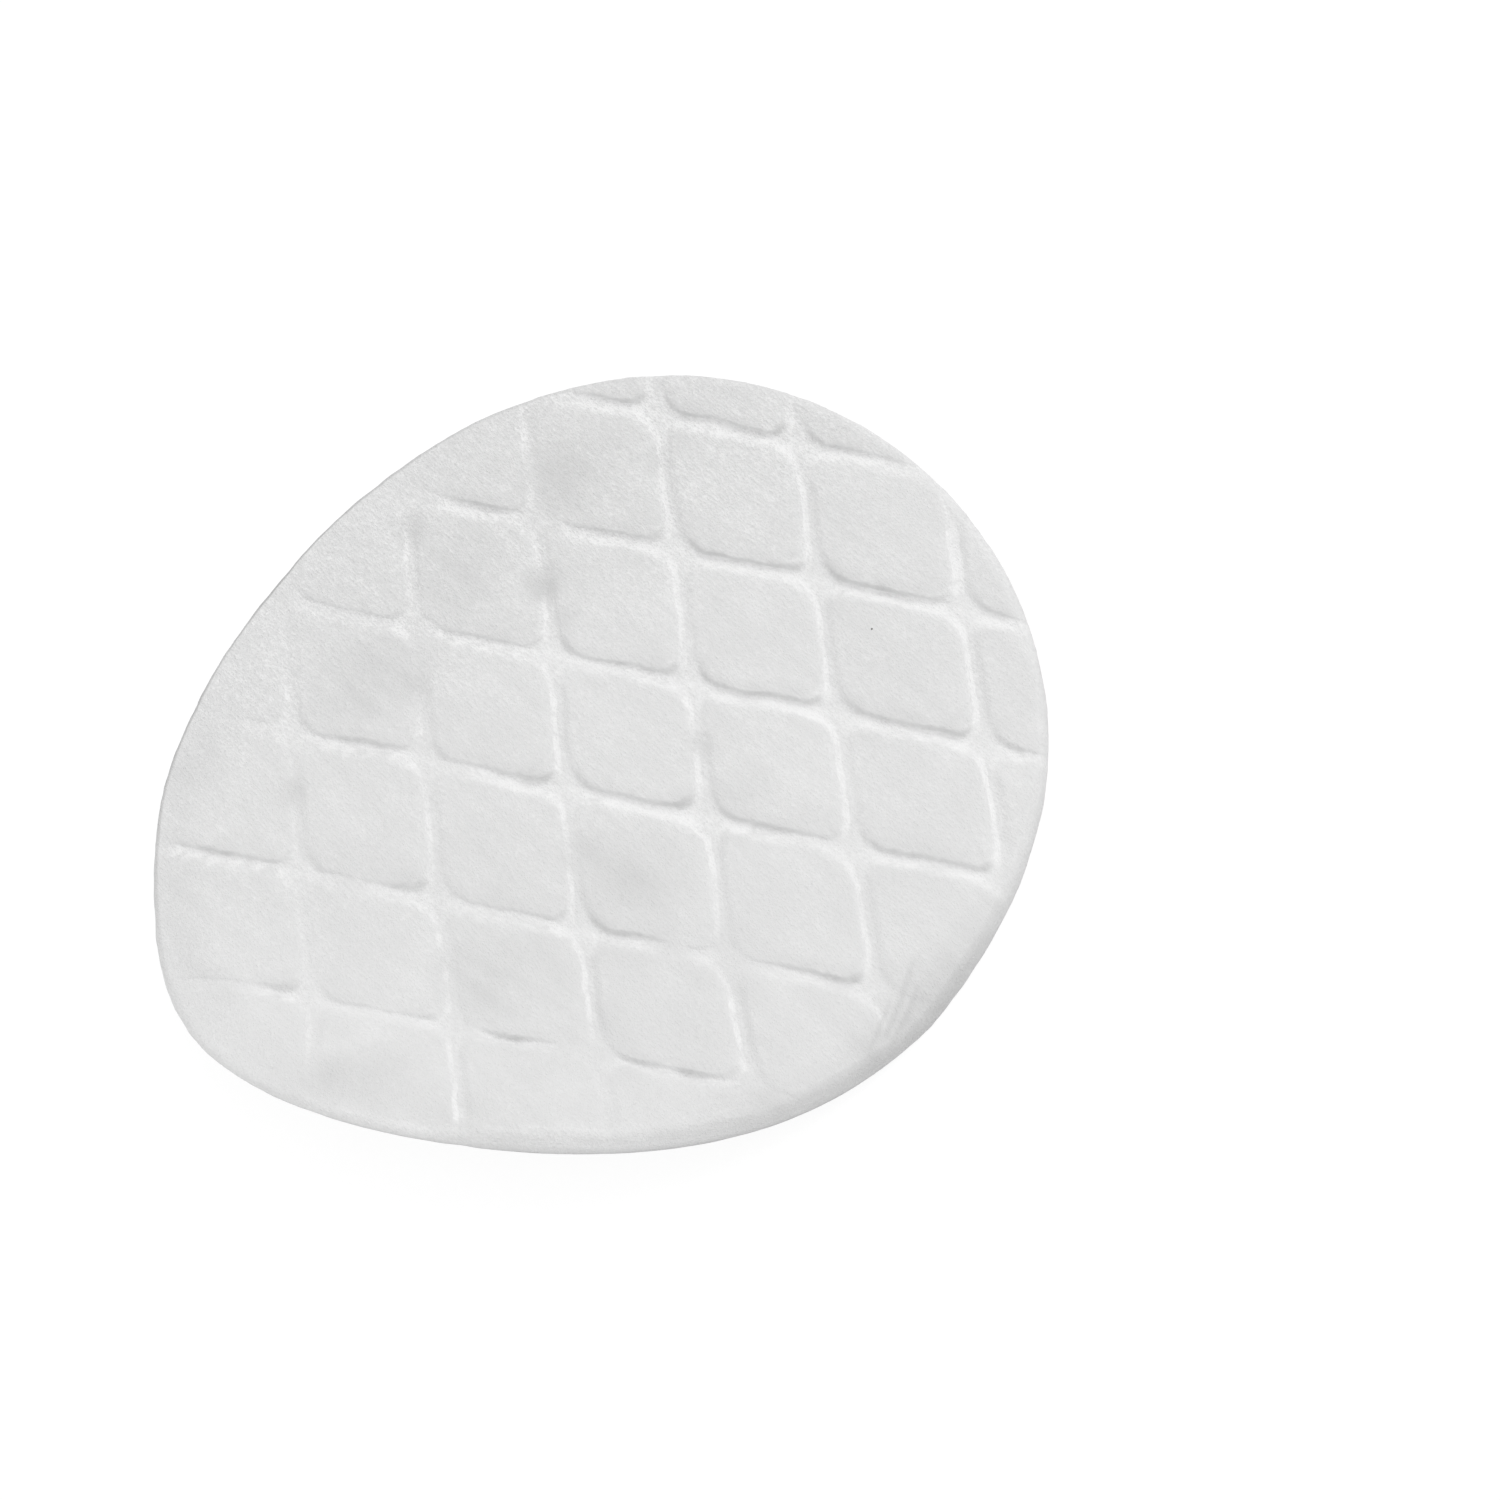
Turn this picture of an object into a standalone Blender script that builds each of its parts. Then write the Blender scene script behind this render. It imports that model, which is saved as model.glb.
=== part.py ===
# Round quilted cotton pad, die cut from a needled cotton web.
# Diamond grooves are pressed into its face, and it keeps a slight curl on two sides.
# Metres, +Z up. The pad lies on its back, with the origin under the middle of its box.

import bpy
import bmesh
import math
from mathutils import Matrix, Vector

MM = 0.001

# Die-cut web
PAD_RADIUS = 28.5 * MM
PILLOW_LOFT = 2.0 * MM         # thickness on the crown of a pillow
CROWN_DROP = 0.08              # share of the loft lost from a pillow's middle to its shoulders
RIM_PINCH = 0.15               # share of the loft lost at the cut edge
RIM_PINCH_WIDTH = 4.0 * MM

# Pressed grooves: two families of parallel lines that cross in diamonds
GROOVE_PITCH = 8.6 * MM        # between neighbouring grooves of one family
GROOVE_ANGLE = math.radians(62.1)
GROOVE_FLOOR = 0.5 * MM        # flat width at the bottom
GROOVE_WALL = 0.25 * MM        # width of the steep wall, seen from above
SHOULDER_WIDTH = 1.3 * MM      # from the floor's edge to where the pillow is free of the groove
SHOULDER_SHARE = 0.25          # share of the groove's depth on that soft shoulder
GROOVE_PRESS = 0.24            # share of the loft pressed away in a firm groove
GROOVES_END = -3.0             # no grooves are pressed beyond this, in pitches from the middle
CORNER_BLEND = 1.6 * MM        # how widely the pillow corners are rounded
BACK_IMPRINT = 0.15 * MM       # the grooves show faintly on the back
BACK_IMPRINT_WIDTH = 1.4 * MM  # from its middle line to where the back is flat again
MIDDLE_PILLOW = (1.80 * MM, 3.14 * MM)   # the pillow nearest the middle of the pad

# The web is drawn unevenly, so the grooves lean, spread, fan and bow by this much at the rim
CROSS_LEAN = -0.29 * MM
CROSS_SPREAD = 1.05 * MM
CROSS_FAN = -1.78 * MM
CROSS_BOW = -0.65 * MM
LONG_LEAN = -0.56 * MM
LONG_SPREAD = 0.15 * MM
LONG_FAN = 0.91 * MM
LONG_BOW = 2.08 * MM
LONG_DRAW = -0.35 * MM
DRAW_STEPS = 12                # rounds it takes to follow the drawn web back

# Places (x, y, radius, share of the groove depth lost) where the press bites less
SOFT_SPOTS = (
    (27.5 * MM, -10.0 * MM, 6.5 * MM, 1.0),
    (19.0 * MM, -6.0 * MM, 8.0 * MM, 0.35),
    (10.2 * MM, -9.6 * MM, 3.2 * MM, 0.75),
    (14.5 * MM, -9.8 * MM, 3.5 * MM, 0.40),
    (7.4 * MM, -18.8 * MM, 4.0 * MM, 0.90),
    (21.0 * MM, -21.0 * MM, 8.0 * MM, 1.0),
    (11.5 * MM, -24.0 * MM, 7.0 * MM, 0.80),
    (-2.0 * MM, -29.0 * MM, 6.0 * MM, 1.0),
    (-20.5 * MM, -20.0 * MM, 10.0 * MM, 1.0),
    (-8.0 * MM, -27.0 * MM, 6.0 * MM, 1.0),
    (-27.0 * MM, -6.0 * MM, 7.0 * MM, 0.85),
    (-21.0 * MM, 16.0 * MM, 6.0 * MM, 0.90),
    (-25.5 * MM, 5.0 * MM, 6.0 * MM, 0.60),
    (-15.0 * MM, 5.6 * MM, 2.6 * MM, 0.90),
    (-8.3 * MM, 12.4 * MM, 2.2 * MM, 0.80),
    (1.4 * MM, -4.6 * MM, 2.4 * MM, 0.85),
    (-3.6 * MM, -14.0 * MM, 2.4 * MM, 0.85),
    (-18.8 * MM, -5.0 * MM, 2.2 * MM, 0.80),
    (6.0 * MM, 3.8 * MM, 1.8 * MM, 0.60),
)

# Dents (x, y, radius, share of the loft) where fibres pull the web down
DENTS = (
    (-8.2 * MM, 12.6 * MM, 2.2 * MM, 0.24),
    (-18.4 * MM, 14.6 * MM, 1.8 * MM, 0.18),
    (2.0 * MM, -5.2 * MM, 2.2 * MM, 0.18),
    (-3.0 * MM, -14.3 * MM, 2.2 * MM, 0.20),
    (-14.0 * MM, 3.8 * MM, 1.8 * MM, 0.16),
    (-18.6 * MM, -5.4 * MM, 1.6 * MM, 0.16),
    (6.4 * MM, 3.6 * MM, 1.4 * MM, 0.14),
    (-5.2 * MM, -25.8 * MM, 2.0 * MM, 0.14),
    (27.8 * MM, -11.5 * MM, 5.0 * MM, 0.50),
)

# The rim is thinner on one side, and the grooves run out before it
THIN_SIDE = math.radians(-118.0)       # direction of the middle of the thin side
THIN_SIDE_REACH = math.radians(50.0)
THIN_SIDE_FADE = math.radians(20.0)
THIN_SIDE_PINCH = 0.40         # further share of the loft lost at the cut edge there
RIM_FADE = 0.75                # share of the groove depth lost at the cut edge
RIM_FADE_WIDTH = 2.0 * MM

# Curl: flat in the middle band, rolled up towards two opposite edges
CURL_TURN = math.radians(2.3)  # the curl runs almost square to the cross grooves
NEAR_CURL_START = 10.8 * MM
NEAR_CURL_RADIUS = 24.0 * MM
FAR_CURL_START = 2.0 * MM
FAR_CURL_RADIUS = 70.0 * MM

# How the pad lies: the cross grooves run from front right to back left
PAD_TURN = math.radians(-47.7)

# Cut edge, from face to back: inset from the rim, and share of the thickness
FIELD_INSET = 0.5 * MM         # where the quilted field meets the edge
EDGE_ROWS = (
    (0.12 * MM, 0.88),
    (0.0 * MM, 0.64),
    (0.0 * MM, 0.30),
    (0.30 * MM, 0.0),
)

# Fineness of the mesh
RIM_POINTS = 120               # points round the rim, besides those at the grooves
CUT_SNAP = 0.06 * MM           # a cut this near a point goes through it

COTTON_COLOUR = (0.85, 0.85, 0.85, 1.0)
COTTON_ROUGHNESS = 0.95


def clamp01(value):
    return max(0.0, min(1.0, value))


def smooth_step(value):
    value = clamp01(value)
    return value * value * (3.0 - 2.0 * value)


def stretch(x, y):
    """Where a point of the even lattice ends up on the drawn web."""
    u = x / PAD_RADIUS
    v = y / PAD_RADIUS
    drawn_x = LONG_SPREAD * u + LONG_LEAN * v + LONG_DRAW * u * u + LONG_FAN * u * v + LONG_BOW * v * v
    drawn_y = CROSS_LEAN * u + CROSS_SPREAD * v + CROSS_FAN * u * v + CROSS_BOW * v * v
    return x + drawn_x, y + drawn_y


def unstretch(x, y):
    """The even lattice point that lands on x, y."""
    guess_x, guess_y = x, y
    for _ in range(DRAW_STEPS):
        now_x, now_y = stretch(guess_x, guess_y)
        guess_x += x - now_x
        guess_y += y - now_y
    return guess_x, guess_y


LONG_NORMAL = Vector((math.sin(GROOVE_ANGLE), math.cos(GROOVE_ANGLE), 0.0))
CROSS_NORMAL = Vector((0.0, 1.0, 0.0))
MIDDLE = Vector((*MIDDLE_PILLOW, 0.0))


def groove_distance(x, y, normal):
    """Distance of a lattice point from the nearest groove line of one family."""
    along = max((Vector((x, y, 0.0)) - MIDDLE).dot(normal) / GROOVE_PITCH, GROOVES_END)
    return GROOVE_PITCH * (0.5 - abs(along - round(along)))


def pillow_distance(x, y):
    """Distance in from the pillow's outline, with its corners rounded."""
    a = groove_distance(x, y, LONG_NORMAL)
    b = groove_distance(x, y, CROSS_NORMAL)
    blend = max(CORNER_BLEND - abs(a - b), 0.0) / CORNER_BLEND
    return min(a, b) - blend * blend * CORNER_BLEND / 4.0


def spots_share(spots, x, y):
    """The share that a list of soft-edged spots leaves at a place on the pad."""
    left = 1.0
    for spot_x, spot_y, radius, loss in spots:
        away = math.hypot(x - spot_x, y - spot_y) / radius
        left *= 1.0 - loss * (1.0 - smooth_step(away))
    return left


def press_share(x, y):
    """How firmly the grooves are pressed at a place on the pad, from 0 to 1."""
    at_rim = smooth_step(1.0 - (PAD_RADIUS - math.hypot(x, y)) / RIM_FADE_WIDTH)
    return spots_share(SOFT_SPOTS, x, y) * (1.0 - RIM_FADE * at_rim)


def rim_pinch(x, y):
    """Share of the loft lost at the cut edge, more on the thin side."""
    off_side = abs((math.atan2(y, x) - THIN_SIDE + math.pi) % math.tau - math.pi)
    return RIM_PINCH + THIN_SIDE_PINCH * smooth_step((THIN_SIDE_REACH - off_side) / THIN_SIDE_FADE)


def face_height(lattice_x, lattice_y):
    """Height of the quilted face over the back, before the curl."""
    x, y = stretch(lattice_x, lattice_y)
    to_rim = (PAD_RADIUS - math.hypot(x, y)) / RIM_PINCH_WIDTH
    pinch = rim_pinch(x, y) * smooth_step(1.0 - to_rim)
    inside = pillow_distance(lattice_x, lattice_y)
    from_floor = inside - GROOVE_FLOOR / 2.0
    on_wall = 1.0 - clamp01(from_floor / GROOVE_WALL)
    on_shoulder = 1.0 - clamp01(from_floor / SHOULDER_WIDTH)
    below_pillow = (1.0 - SHOULDER_SHARE) * on_wall + SHOULDER_SHARE * on_shoulder ** 2
    groove = GROOVE_PRESS * press_share(x, y) * below_pillow
    crown = CROWN_DROP * (1.0 - clamp01(inside / (GROOVE_PITCH / 2.0))) ** 2
    left = (1.0 - pinch) * (1.0 - crown) * (1.0 - groove) * spots_share(DENTS, x, y)
    return PILLOW_LOFT * left


def back_height(lattice_x, lattice_y):
    """The back is flat but for the faint imprint of the grooves."""
    x, y = stretch(lattice_x, lattice_y)
    inside = min(groove_distance(lattice_x, lattice_y, LONG_NORMAL),
                 groove_distance(lattice_x, lattice_y, CROSS_NORMAL))
    return BACK_IMPRINT * press_share(x, y) * (1.0 - smooth_step(inside / BACK_IMPRINT_WIDTH))


def curl(point):
    """Roll the flat pad up along its two curled sides."""
    direction = Vector((-math.sin(CURL_TURN), math.cos(CURL_TURN), 0.0))
    rolled = point.copy()
    for side, start, radius in ((1.0, FAR_CURL_START, FAR_CURL_RADIUS),
                                (-1.0, NEAR_CURL_START, NEAR_CURL_RADIUS)):
        run = max(0.0, side * point.dot(direction) - start)
        angle = run / radius
        rolled += side * direction * ((radius - point.z) * math.sin(angle) - run)
        rolled.z += (radius - point.z) * (1.0 - math.cos(angle))
    return rolled


def face_cuts():
    """Cuts beside one groove, from its middle line to the pillow's middle."""
    floor_edge = GROOVE_FLOOR / 2.0
    shoulder_end = floor_edge + SHOULDER_WIDTH
    pillow_middle = GROOVE_PITCH / 2.0
    return (0.0, floor_edge, floor_edge + GROOVE_WALL, shoulder_end,
            (shoulder_end + pillow_middle) / 2.0, pillow_middle)


def back_cuts():
    return (0.0, BACK_IMPRINT_WIDTH, GROOVE_PITCH / 2.0)


def cut_lattice(bm, faces, offsets):
    """Cut the faces along every groove of both families, at the given offsets."""
    grooves_each_way = math.ceil(PAD_RADIUS / GROOVE_PITCH) + 1
    for normal in (LONG_NORMAL, CROSS_NORMAL):
        places = set()
        for count in range(-grooves_each_way, grooves_each_way + 1):
            groove = MIDDLE.dot(normal) + (count + 0.5) * GROOVE_PITCH
            for offset in offsets:
                places.add(round(groove + offset, 8))
                places.add(round(groove - offset, 8))
        for place in sorted(places):
            edges = {edge for face in faces for edge in face.edges}
            verts = {vert for face in faces for vert in face.verts}
            cut = bmesh.ops.bisect_plane(
                bm, geom=[*verts, *edges, *faces], dist=CUT_SNAP,
                plane_co=normal * place, plane_no=normal)
            faces = [item for item in cut["geom"] if isinstance(item, bmesh.types.BMFace)]


def edge_place(turn, inset, share):
    """Lattice place of a point of the edge, with its share of the thickness as z."""
    radius = PAD_RADIUS - inset
    return Vector((*unstretch(radius * math.cos(turn), radius * math.sin(turn)), share))


def turn_of(vert):
    x, y = stretch(vert.co.x, vert.co.y)
    return math.atan2(y, x)


def build_web(bm):
    """The closed flat web, in lattice places. A point's z is its share of the thickness."""
    turns = [math.tau * point / RIM_POINTS for point in range(RIM_POINTS)]
    outline = [bm.verts.new(edge_place(turn, FIELD_INSET, 1.0)) for turn in turns]
    cut_lattice(bm, [bm.faces.new(outline)], face_cuts())
    row = [edge for edge in bm.edges if edge.is_boundary]
    for vert in {vert for edge in row for vert in edge.verts}:
        vert.co = edge_place(turn_of(vert), FIELD_INSET, 1.0)
    for inset, share in EDGE_ROWS:
        new = bmesh.ops.extrude_edge_only(bm, edges=row)["geom"]
        for vert in [item for item in new if isinstance(item, bmesh.types.BMVert)]:
            vert.co = edge_place(turn_of(vert), inset, share)
        row = [item for item in new if isinstance(item, bmesh.types.BMEdge) and item.is_boundary]
    back = bmesh.ops.edgeloop_fill(bm, edges=row)["faces"]
    cut_lattice(bm, back, back_cuts())


def shape_pad(bm):
    """Turn lattice places and thickness shares into the quilted, curled pad."""
    lie = Matrix.Rotation(PAD_TURN, 3, "Z")
    for vert in bm.verts:
        lattice_x, lattice_y, share = vert.co
        low = back_height(lattice_x, lattice_y)
        high = face_height(lattice_x, lattice_y)
        web = Vector((*stretch(lattice_x, lattice_y), low + share * (high - low)))
        vert.co = lie @ curl(web)


def centre_on_floor(bm):
    lows = [min(vert.co[axis] for vert in bm.verts) for axis in range(3)]
    highs = [max(vert.co[axis] for vert in bm.verts) for axis in range(3)]
    foot = Vector(((lows[0] + highs[0]) / 2.0, (lows[1] + highs[1]) / 2.0, lows[2]))
    bmesh.ops.translate(bm, verts=bm.verts, vec=-foot)


def cotton_material():
    material = bpy.data.materials.new("cotton")
    material.use_nodes = True
    shader = material.node_tree.nodes["Principled BSDF"]
    shader.inputs["Base Color"].default_value = COTTON_COLOUR
    shader.inputs["Roughness"].default_value = COTTON_ROUGHNESS
    shader.inputs["Metallic"].default_value = 0.0
    return material


def build_cotton_pad():
    bm = bmesh.new()
    build_web(bm)
    shape_pad(bm)
    centre_on_floor(bm)
    bmesh.ops.triangulate(bm, faces=bm.faces)
    bmesh.ops.recalc_face_normals(bm, faces=bm.faces)
    mesh = bpy.data.meshes.new("cotton_pad")
    bm.to_mesh(mesh)
    bm.free()
    mesh.shade_smooth()
    mesh.materials.append(cotton_material())
    pad = bpy.data.objects.new("cotton_pad", mesh)
    bpy.context.scene.collection.objects.link(pad)


for old in list(bpy.data.objects):
    bpy.data.objects.remove(old, do_unlink=True)

build_cotton_pad()
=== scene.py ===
# Round quilted cotton pad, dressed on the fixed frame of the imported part.
# Metres, +Z up. The pad lies on its back on a plain pale floor, lit by one soft lamp.

import math

import bmesh
import bpy
import numpy as np
from bpy.props import FloatProperty, FloatVectorProperty, PointerProperty
from mathutils import Matrix, Vector


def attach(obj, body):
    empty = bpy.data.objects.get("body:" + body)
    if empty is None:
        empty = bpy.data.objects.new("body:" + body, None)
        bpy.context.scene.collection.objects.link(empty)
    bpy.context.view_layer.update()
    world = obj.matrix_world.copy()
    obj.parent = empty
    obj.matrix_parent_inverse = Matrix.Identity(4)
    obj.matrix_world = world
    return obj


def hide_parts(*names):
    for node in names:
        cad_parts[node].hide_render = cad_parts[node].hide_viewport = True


bl_info = {
    "name": "Quilted cotton pad",
    "version": (1, 0, 0),
    "blender": (4, 5, 0),
    "location": "3D View > Sidebar > Cotton pad",
    "description": "A round quilted cotton pad, with its floor, lamp and camera",
    "category": "Mesh",
}

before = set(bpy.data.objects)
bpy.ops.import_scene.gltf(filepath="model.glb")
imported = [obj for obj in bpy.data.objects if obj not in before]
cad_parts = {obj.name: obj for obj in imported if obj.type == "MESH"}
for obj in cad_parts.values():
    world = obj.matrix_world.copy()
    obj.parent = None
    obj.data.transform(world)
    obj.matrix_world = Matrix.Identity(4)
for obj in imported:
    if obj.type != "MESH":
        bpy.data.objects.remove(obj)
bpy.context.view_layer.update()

MM = 0.001
CAD_NODE = "cotton_pad"
BODY = "root"

# Where the grooves run, in the pad's own plan before it is turned on the floor
GROOVE_ANGLE = math.radians(62.1)
MIDDLE_PILLOW = (1.705 * MM, 3.32 * MM)
LONG_NORMAL = (math.sin(GROOVE_ANGLE), math.cos(GROOVE_ANGLE))
CROSS_NORMAL = (0.0, 1.0)
GROOVES_END = -3.0                   # no grooves are pressed beyond this, in pitches from the middle
PAD_TURN = math.radians(-47.7)
FIBRE_TURN = math.radians(-27.0)     # direction that most fibres run in

# The web is drawn unevenly, so the grooves lean, spread, fan and bow by this much at the rim
CROSS_LEAN = -0.29 * MM
CROSS_SPREAD = 1.05 * MM
CROSS_FAN = -1.78 * MM
CROSS_BOW = -0.65 * MM
LONG_LEAN = -0.56 * MM
LONG_SPREAD = 0.15 * MM
LONG_FAN = 0.91 * MM
LONG_BOW = 2.08 * MM
LONG_DRAW = -0.35 * MM
DRAW_STEPS = 12

# Places (x, y and radius in mm, share of the groove depth lost) where the press bites less.
# A negative share is a place where it bites more.
SOFT_SPOTS = (
    (-14.0, -12.0, 24.0, 0.45),
    (26.5, -10.0, 4.5, 1.0),
    (25.3, -9.6, 3.0, 1.0),
    (25.0, -13.5, 3.5, 1.0),
    (21.5, -18.8, 5.0, 1.0),
    (19.0, -6.0, 8.0, 0.35),
    (16.0, -1.4, 3.0, 0.50),
    (10.4, -9.8, 3.4, 0.95),
    (14.5, -9.8, 3.5, 0.40),
    (15.5, -9.7, 3.5, 0.60),
    (12.3, -8.2, 2.0, 0.70),
    (17.8, -1.2, 2.6, 0.35),
    (7.6, -19.2, 4.0, 1.0),
    (1.0, -19.0, 1.6, 0.70),
    (9.6, -18.6, 1.6, 0.50),
    (13.6, -18.8, 1.5, 0.80),
    (11.0, -21.5, 3.0, 0.60),
    (3.2, 9.6, 1.4, 0.50),
    (21.0, -21.0, 8.0, 1.0),
    (11.5, -25.0, 7.0, 0.80),
    (-2.0, -30.0, 6.0, 1.0),
    (-21.0, -20.5, 8.0, 1.0),
    (-8.0, -27.0, 6.0, 1.0),
    (-27.5, -3.0, 6.5, 0.90),
    (-27.0, -10.0, 4.0, 0.90),
    (-22.0, 16.0, 6.0, 0.90),
    (-20.0, 8.2, 5.0, 0.60),
    (-17.8, 17.2, 2.5, 0.80),
    (-8.0, 17.0, 3.0, 0.70),
    (-12.0, 20.5, 2.6, 0.85),
    (-3.4, 22.6, 1.6, 0.70),
    (-8.5, 8.0, 3.0, 0.50),
    (-3.0, 7.8, 2.6, 0.45),
    (-5.2, 6.4, 2.0, 0.55),
    (-13.8, 3.8, 1.8, 0.90),
    (-8.0, -1.0, 3.2, 0.55),
    (-10.2, -3.2, 2.0, 0.50),
    (-7.2, -8.0, 1.2, 0.40),
    (-14.2, -12.6, 2.2, 0.60),
    (-11.2, -17.4, 1.4, 0.60),
    (-2.2, -16.6, 2.2, 0.60),
    (-15.4, -19.6, 2.2, 0.60),
    (-8.5, -21.5, 2.0, 0.40),
    (-6.2, -25.6, 3.0, 0.95),
    (-2.0, -10.0, 3.5, 0.50),
    (1.5, -9.8, 2.0, 0.40),
    (2.0, -5.8, 1.8, 0.80),
    (-26.5, 7.0, 6.0, 0.95),
    (-25.0, -0.5, 5.0, 0.85),
    (-24.0, 4.6, 3.2, 0.85),
    (-22.0, -0.6, 1.8, 0.60),
    (-11.8, -10.0, 3.4, 0.85),
    (-10.0, 17.5, 4.0, 0.35),
    (-12.5, 8.0, 4.0, 0.25),
    (-5.5, -19.5, 4.4, 0.55),
    (-15.0, 5.6, 2.6, 0.90),
    (-8.3, 12.6, 2.6, 1.0),
    (-9.0, 16.8, 2.0, 0.60),
    (1.4, -4.6, 2.4, 0.85),
    (-3.6, -14.0, 2.4, 0.85),
    (-18.8, -5.0, 2.2, 0.80),
    (6.0, 3.8, 2.4, 0.95),
    (-7.4, -9.8, 2.2, -0.50),
    (-12.0, -19.6, 2.2, -0.40),
    (-3.0, -1.0, 2.2, -0.50),
    (-16.0, -1.0, 4.0, -0.40),
    (-20.0, -10.0, 4.0, -0.40),
    (4.0, -19.6, 2.0, -0.60),
    (14.5, -18.8, 3.0, -0.40),
    (21.0, -9.4, 2.0, -0.40),
    (-13.5, 17.2, 2.2, -0.40),
    (-12.5, 8.0, 2.0, -0.50),
    (13.0, 7.6, 2.4, -0.30),
)

# Dents (x, y and radius in mm, share of the loft) where fibres pull the web down
DENTS = (
    (-8.2, 12.6, 2.2, 0.24),
    (-18.4, 14.6, 1.8, 0.18),
    (2.0, -5.2, 2.2, 0.18),
    (-3.0, -14.3, 2.2, 0.20),
    (-14.0, 3.8, 1.8, 0.16),
    (-18.6, -5.4, 1.6, 0.16),
    (-7.7, 12.3, 1.0, 0.10),
    (-2.7, 22.4, 1.2, 0.08),
    (6.4, 3.6, 1.4, 0.14),
    (-5.2, -25.8, 2.0, 0.14),
    (27.8, -11.5, 5.0, 0.42),
)

# Creases (from x, y to x, y, width and depth, all in mm) on the side that rolls up
CREASES = (
    (24.7, -6.8, 24.5, -13.6, 0.30, 0.14),
    (25.4, -8.6, 25.0, -13.4, 0.24, 0.10),
    (24.0, -9.6, 24.2, -14.6, 0.24, 0.08),
)
CREASE_PAINTED_SHADE = 0.12                   # painted shade along a crease

# Shallow hollows (x, y and radius in mm, share of the loft) in the pillows; a puff has a negative share
HOLLOWS = (
    (-17.5, 4.0, 5.0, 0.06),
    (5.5, -6.0, 4.5, 0.06),
    (0.0, -15.0, 4.5, 0.06),
    (-9.0, 20.5, 4.0, 0.05),
    (-13.5, 12.5, 4.5, 0.05),
    (-1.5, -25.5, 4.0, 0.05),
    (-26.0, -4.5, 3.0, 0.05),
    (-7.6, -8.8, 1.7, -0.16),
    (-12.2, -18.5, 1.7, -0.10),
    (-3.2, 0.2, 1.6, -0.10),
    (2.4, 8.7, 1.5, -0.08),
)

# The press bites unevenly on one side, and a little more or less from pillow to pillow
WEAK_SIDE_START = -5.0 * MM
WEAK_SIDE_FADE = 14.0 * MM
WEAK_PRESS_LOSS = 0.25
PRESS_UNEVENNESS = (0.20, 0.50)      # everywhere, and further on the weak side
PRESS_BLOTCH = 2.4 * MM
FIRMEST_PRESS = 1.2
LOFT_SPREAD = 0.03
LOFT_SEED = 21

# The rim is thinner on one side, and the grooves run out before it
THIN_SIDE = math.radians(-118.0)
THIN_SIDE_REACH = math.radians(50.0)
THIN_SIDE_FADE = math.radians(20.0)
RIM_FADE = 0.75
RIM_FADE_WIDTH = 2.0 * MM

# Thin spots (x, y and radius in mm, share of the density lost), where the cotton looks greyer; some of them
# paint shade into the dents and onto the rolled side at the lower right.
# A negative share is a place where it is denser, and on the far upper side it is painted light.
THIN_AND_SHADED_SPOTS = (
    (-17.0, 3.6, 5.5, 0.75),
    (-13.9, 3.8, 2.0, 0.60),
    (5.5, -6.0, 5.0, 0.75),
    (2.0, -5.2, 2.2, 0.70),
    (0.6, -15.0, 5.0, 0.75),
    (-3.0, -14.3, 2.0, 0.70),
    (-8.5, 20.5, 4.5, 0.70),
    (-14.0, 12.5, 5.0, 0.65),
    (-8.0, 12.4, 2.2, 0.90),
    (-7.8, 12.3, 1.1, 0.90),
    (-2.8, 22.4, 1.2, 0.70),
    (-5.6, 10.4, 1.5, 0.60),
    (-18.3, 14.4, 2.2, 0.80),
    (-2.0, -25.4, 4.5, 0.60),
    (-5.0, -25.6, 2.2, 0.60),
    (-26.0, -4.5, 3.5, 0.50),
    (-18.6, -5.4, 1.8, 0.70),
    (6.6, 3.4, 1.6, 0.60),
    (10.5, 0.2, 3.5, 0.45),
    (-7.6, -9.0, 1.8, 0.25),
    (-11.8, -18.8, 1.8, 0.25),
    (10.0, -15.0, 13.0, 0.33),
    (-4.0, -8.0, 12.0, 0.15),
    (3.0, 22.0, 9.0, -0.20),
    (-2.6, -0.2, 1.8, 0.50),
    (2.6, 8.6, 1.8, 0.40),
    (27.5, -9.5, 5.0, 0.90),
    (25.8, -13.8, 4.5, 0.80),
    (20.5, -21.0, 6.0, 0.50),
    (6.0, -28.0, 6.0, 0.50),
    (-6.0, -28.0, 5.0, 0.40),
)

# Curl: flat in the middle band, rolled up towards two opposite edges
CURL_TURN = math.radians(2.3)
CURLS = ((1.0, 2.0 * MM, 70.0 * MM), (-1.0, 10.8 * MM, 24.0 * MM))   # side, start, radius

# Cut edge, from face to back: inset from the rim, and share of the thickness
EDGE_PROFILE = ((0.50 * MM, 1.0), (0.12 * MM, 0.88), (0.0, 0.64), (0.0, 0.30), (0.30 * MM, 0.0))
EDGE_ROWS = 11
BACK_INSET = 0.5 * MM

# Painted shade on the cut edge at shares of the thickness, on its upper corner, down its wall and at its
# foot, and how much of that shows at each turn round the pad (degrees, share); below 0 it is painted light
CUT_SHARES = (0.0, 0.15, 0.35, 0.64, 0.88, 0.99, 1.0)
CORNER_PAINTED_SHADE = (0.0, 0.0, 0.0, 0.3, 1.0, 0.7, 0.0)
CORNER_TURNS = ((-180.0, -150.0, -125.0, -100.0, -85.0, 60.0, 100.0, 125.0, 145.0, 160.0, 172.0, 180.0),
                (0.7, 0.35, 0.10, 0.05, 0.0, 0.0, 0.1, 0.3, 0.6, 0.9, 0.5, 0.7))
EDGE_WALL_PAINTED_SHADE = (0.6, 0.8, 0.9, 1.0, 0.9, 0.4, 0.0)
WALL_TURNS = ((-180.0, -150.0, -110.0, -85.0, -60.0, -45.0, -30.0, -20.0, -5.0, 15.0),
              (0.0, -0.1, -0.15, -0.2, -0.1, 0.05, 0.22, 0.30, 0.15, 0.0))
FOOT_PAINTED_SHADE = (0.35, 0.1, 0.0, 0.0, 0.0, 0.0, 0.0)
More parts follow.
